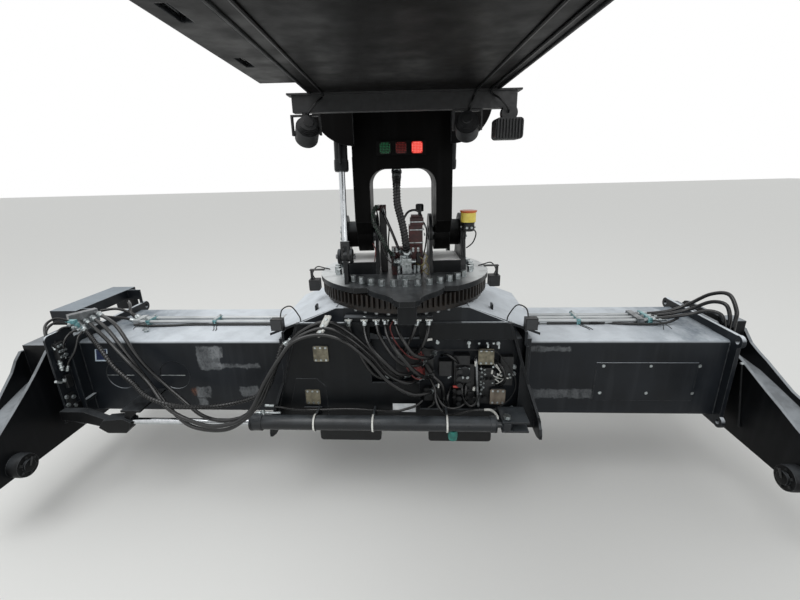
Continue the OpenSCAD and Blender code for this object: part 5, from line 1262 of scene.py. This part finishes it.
def makeShift(shift):
    y, z = shift["y"], shift["z"]
    makeRows(shift, "shift_frame")
    bands = [((x - 7, y, z), (1, 0, 0), shift["band"]) for x in shift["bands"]]
    lathePiece("barrelBands", bands, "shift_frame", "whiteClamp", 40)
    rings = [((x, y, z), (1, 0, 0), ring) for x, ring in shift["rings"]]
    lathePiece("barrelRings", rings, "shift_frame", "panelPaint", 40)
    runCables("barrelHose", shift["hose"], "shift_frame", "hoseRubber", 10, 0.02)
    # the seams at the tunnel stop where the pipes run
    seams = [((x, -505, -479), (x, 505, -479), 5) for x in (-500, 500)]
    seams += [((x, y0, -766), (x, y1, -766), 5) for x in (-952, 952) for y0, y1 in ((-445, -86), (201, 445))]
    rodPiece("roofSeams", seams, "shift_frame", "anthracitePaint", 8)
    seams = [((s * 808, f * 548, -606), (s * 1035, f * 548, -1370), 5) for s in (-1, 1) for f in (-1, 1)]
    rodPiece("panelSeams", seams, "shift_frame", "panelPaint", 8)
    spots = [(s, s * (880 + 60 * i)) for s in (-1, 1) for i in (0, 1)]
    pads = [((x, y, -792.5), (0, 0, 1)) for s, x in spots for y in (-360, -250, 250, 360)]
    pads += [((x, f * 445.5, z), (0, f, 0)) for s, x in spots for f in (-1, 1)
             for z in (-1010, -1070, -1385, -1430)]
    placeBolts("padBolts", pads, "shift_frame", "zincPlating", 28)
    lugs = [((s * 700 - 8, y - 30, -566), (s * 700 + 8, y + 30, -515)) for s in (-1, 1) for y in (-330, 330)]
    boxPiece("roofLugs", lugs, "shift_frame", "panelPaint", 4)
    covers = [((x - 130, 550, -1180), (x + 130, 556, -900)) for x in shift["coverX"]]
    boxPiece("backCovers", covers, "shift_frame", "anthracitePaint", 2)
    bolts = [((x + dx, 556.5, -1040 + dz), (0, 1, 0)) for x in shift["coverX"] for dx in (-110, 0, 110)
             for dz in (-120, 120)]
    placeBolts("backBolts", bolts, "shift_frame", "zincPlating", 20)


makeShift(shiftSettings)

# the main beam: bolts of the cover, sticker, pipes' clamps, cable beside the pipes and the fittings at both
# ends
beamSettings = dict(
    face=-410.1, coverBolts=[(1694, -1018), (2058, -1018), (2430, -1018), (1694, -1260), (2058, -1260),
                             (2416, -1260)],
    # x, y and half width between the bolts
    tealClamps=((-2250, 5, 60), (-1620, 5, 60), (1600, 28, 90), (2195, 20, 90)),
    sticker=[(-2497, -874), (-2388, -872), (-2410, -984), (-2522, -986)], field=(0.82, 0.86),
    fieldMove=(3, 5),
    rods=[("coverLines", "zincPlating", 8, [((-2452, -404.6, -1120), (-2212, -404.6, -1120), 3),
                                            ((-1976, -404.6, -1120), (-1762, -404.6, -1120), 3)]),
          ("cableConnector", "blackPlastic", 14,
           [((1690, -61, -791), (1700, -61, -791), 13), ((1704, -61, -789), (1762, -61, -789), 13.5),
            ((1768, -61, -791), (1776, -61, -791), 12)])],
    boxes=[("elbowPlate", "paleTeal", 3, [((2175, -80, -800), (2205, 120, -740))])],
    cables=[("tieTails", "blackPlastic", 3,
             [[(-2260, -92, -760), (-2200, -140, -758), (-2170, -170, -780)], [(-2252, -92, -756),
              (-2270, -150, -752), (-2296, -190, -784)], [(2190, -98, -752), (2260, -150, -760),
              (2300, -200, -790)], [(2200, -90, -752), (2230, -170, -748), (2226, -215, -790)]]
              + [[(x, -60, -758), (x + 5, -66, -772), (x + 9, -69, -788), (x + 14, -74, -799.6),
              (x + 30, -110, -799.8), (x + 52, -150, -799.8), (x + 60, -186, -799.8)]
              for x in (-1636, -1612, 1590, 1614)])],
    bolts=[("lugFitting", "zincPlating", 34, [((-2212, -159, -803), (0, 0, 1)),
                                              ((-2170, -200, -803), (0, 0, 1))])],
    # long couplings where the pipes turn into hoses at the right end
    coupling=[(0, 17), (2, 22), (24, 22), (26, 18), (60, 18), (62, 21), (84, 21), (86, 17), (130, 17)],
    pipeY=(88, 18, -52),
    sideCables=[
        [(-2360, -84, -784), (-2200, -90, -790), (-2000, -78, -791), (-1860, -61, -791), (-1500, -60, -791),
         (-1100, -61, -791), (-700, -60, -791)],
        [(-2350, 126, -788), (-2000, 132, -791), (-1640, 126, -791), (-1300, 130, -791), (-700, 126, -791)],
        [(700, -61, -791), (1100, -60, -791), (1600, -61, -791), (1850, -61, -791), (2000, -80, -790),
         (2200, -96, -788), (2330, -88, -776), (2430, -50, -752)]],
    guardHoses=[
        [(-2380, -30, -768), (-2440, -60, -730), (-2540, -150, -680), (-2640, -200, -640)],
        [(-2380, 50, -768), (-2450, 40, -720), (-2560, 10, -660), (-2680, -40, -660)],
        [(-2380, 10, -768), (-2430, 0, -700), (-2500, 100, -640), (-2620, 240, -660), (-2660, 300, -740)]])


def makeSticker(beam):
    middle = [sum(spot[k] for spot in beam["sticker"]) / 4 for k in (0, 1)]
    field = [tuple(middle[k] + (spot[k] - middle[k]) * beam["field"][k] + beam["fieldMove"][k]
                   for k in (0, 1))
             for spot in beam["sticker"]]
    low = beam["face"]
    for name, outline, finish, high in (("blankSticker", beam["sticker"], "paleSticker", -411.6),
                                        ("stickerField", field, "stickerBlue", -412.2)):
        shape = bmesh.new()
        addPlate(shape, outline, high, low)
        finishPiece(name, shape, "beam", finish, 0)
        low = high


def makeBeam(beam):
    bolts = [((x, -413.6, z), (0, -1, 0)) for x, z in beam["coverBolts"]]
    placeBolts("plateBolts", bolts, "beam", "zincPlating", 24, 12, 0.1, 1.2)
    makeSticker(beam)
    for k, (x, y, half) in enumerate(beam["tealClamps"]):
        halves = [((x - 16, y - half - 10, low), (x + 16, y + half + 10, high))
                  for low, high in ((-803, -776), (-772, -750))]
        boxPiece("pipeClamp%d" % k, halves, "beam", "paleTeal", 3)
        strap = ((x - 14, y - half - 6, -750), (x + 14, y + half + 6, -745))
        boxPiece("clampStrap%d" % k, [strap], "beam", "zincPlating", 1)
        bolts = [((x, y + s * (half - 2), -745), (0, 0, 1)) for s in (-1, 1)]
        placeBolts("strapBolts%d" % k, bolts, "beam", "zincPlating", 14)
    makeRows(beam, "beam")
    runCables("sideCables", beam["sideCables"], "beam", "hoseRubber", 11, 0.02)
    runCables("guardHoses", beam["guardHoses"], "beam", "hoseRubber", 13)
    crimpHoses("pipeEnds", [(route[0], route[1]) for route in beam["guardHoses"]], "beam")
    couplings = [((2200, y, -766), (1, 0, 0.05), beam["coupling"]) for y in beam["pipeY"]]
    lathePiece("pipeCouplings", couplings, "beam", "zincPlating", 12)
    seams = [((x, -200, -802), (x, 200, -802), 4) for x in (-2616, 2616)]
    seams += [((x, y, -830), (x, y, -1440), 4) for y in (-411, 411) for x in (-2616, 2616)]
    rodPiece("beamSeams", seams, "beam", "scuffedPaint", 8)


makeBeam(beamSettings)
print("beam made")

# the valves on the left flange's wing
wingSettings = dict(
    boxes=[("wingValves", "valveIron", 3,
            [((-2619, -650, -868), (-2578, -575, -720)), ((-2619, -640, -1110), (-2592, -590, -1000)),
             ((-2619, -672, -1300), (-2612, -592, -1160))]),
           ("tealBlock", "paleTeal", 3,
            [((-2660, -420, -690), (-2590, -384, -640)), ((-2668, -432, -640), (-2600, -384, -612))])],
    rods=[("wingChrome", "zincPlating", 16,
           [((-2600, -641, -860), (-2600, -641, -950), 14), ((-2600, -641, -880), (-2600, -641, -895), 20),
            ((-2600, -641, -915), (-2600, -641, -930), 20), ((-2610, -716, -1010), (-2606, -670, -1040), 11),
            ((-2610, -660, -1030), (-2600, -640, -1040), 16)])],
    loops=[
        [(-2625, -400, -640), (-2690, -470, -575), (-2710, -560, -600), (-2660, -630, -690),
         (-2606, -640, -760)],
        [(-2625, -420, -650), (-2680, -500, -600), (-2690, -590, -640), (-2640, -630, -740),
         (-2604, -616, -800)],
        [(-2600, -430, -670), (-2620, -520, -640), (-2630, -600, -700), (-2600, -610, -830)],
        [(-2570, -430, -690), (-2560, -520, -680), (-2575, -590, -740), (-2590, -600, -850)],
        [(-2540, -410, -700), (-2520, -500, -720), (-2530, -560, -820), (-2580, -590, -900),
         (-2600, -600, -960)]],
    bolts=[("wingBolts", "zincPlating", 26, [((-2612, y, z), (1, 0, 0)) for y, z in
                                             ((-666, -1176), (-608, -1208), (-672, -1246), (-616, -1284))]),
           ("wingNuts", "zincPlating", 18, [((-2578, y, z), (1, 0, 0)) for y in (-635, -610, -588)
                                            for z in (-745, -790, -835)])])


def makeWing(wing):
    makeRows(wing, "beam")
    runCables("wingLoops", wing["loops"], "beam", "hoseRubber", 10)
    ends = [(route[first], route[second]) for first, second in ((0, 1), (-1, -2)) for route in wing["loops"]]
    crimpHoses("wingLoop", ends, "beam", 0.68)


makeWing(wingSettings)

# both end beams: bearings, seats, bolts and levers
endSettings = dict(
    bearingX=2675, bearingY=1060, bearingZ=-1510, circle=62, circleTurns=(0.5, 1.55, 2.6, 3.64, 4.7, 5.75),
    bearing=[(-68, 86), (-66, 88), (-2, 88), (2, 86), (16, 84), (18, 70), (18, 46), (34, 44), (36, 38)],
    # y and z along the web's upper edge, in two runs
    seamX=2768, seams=(((-940, -1236), (-840, -1192), (-660, -1127)),
                       ((300, -1122), (630, -1203), (900, -1262))),
    rodX=2736, rodTop=[(0, 12), (2, 17), (10, 17), (16, 9)], lockX=2926.5, lockY=1129.5, outerX=3030.5)


def makeEnd(end, s, body, name):
    x, z, far = s * end["bearingX"], end["bearingZ"], end["bearingY"]
    bearings = [((x, y, z), (-s, 0, 0), end["bearing"]) for y in (-far, far)]
    lathePiece("bearing" + name, bearings, body, "bracketPaint", 32)
    bolts = [((s * 2657, y + end["circle"] * math.cos(turn), z + end["circle"] * math.sin(turn)), (-s, 0, 0))
             for y in (-far, far) for turn in end["circleTurns"]]
    placeBolts("bearingBolts" + name, bolts, body, "valveIron", 16)
    levers = [((s * 2640, y, z), (s * 2626, y + 20, z + 64), 7) for y in (-far, far)]
    rodPiece("bearingLever" + name, levers, body, "valveIron", 12)
    x = s * end["seamX"]
    seams = [((x, *first), (x, *second), 5) for run in end["seams"] for first, second in zip(run, run[1:])]
    rodPiece("webSeams" + name, seams, body, "armPaint", 8)
    x = s * end["rodX"]
    rodPiece("hangRod" + name, [((x, -420, -1000), (x, -540, -1480), 8)], body, "panelPaint", 12)
    lathePiece("hangRodTop" + name, [((x, -420, -1000), (0, 0.25, 0.97), end["rodTop"])], body, "zincPlating",
               16)
    # guide plates and bolts round the corner seats
    for t in (-1, 1):
        x, y, mark = s * end["lockX"], t * end["lockY"], "%s%d" % (name, t > 0)
        boxPiece("seatFlange" + mark, [((x - 95, y - 80, -1592), (x + 95, y + 80, -1588.5))], body,
                 "armPaint", 1)
        bolts = [((s * end["outerX"], y + dy, z), (s, 0, 0)) for dy in (-60, 60) for z in (-1560, -1480)]
        placeBolts("seatBolts" + mark, bolts, body, "zincPlating", 26)


makeEnd(endSettings, -1, "left_arm", "Left")
makeEnd(endSettings, 1, "right_arm", "Right")
print("end beams made")
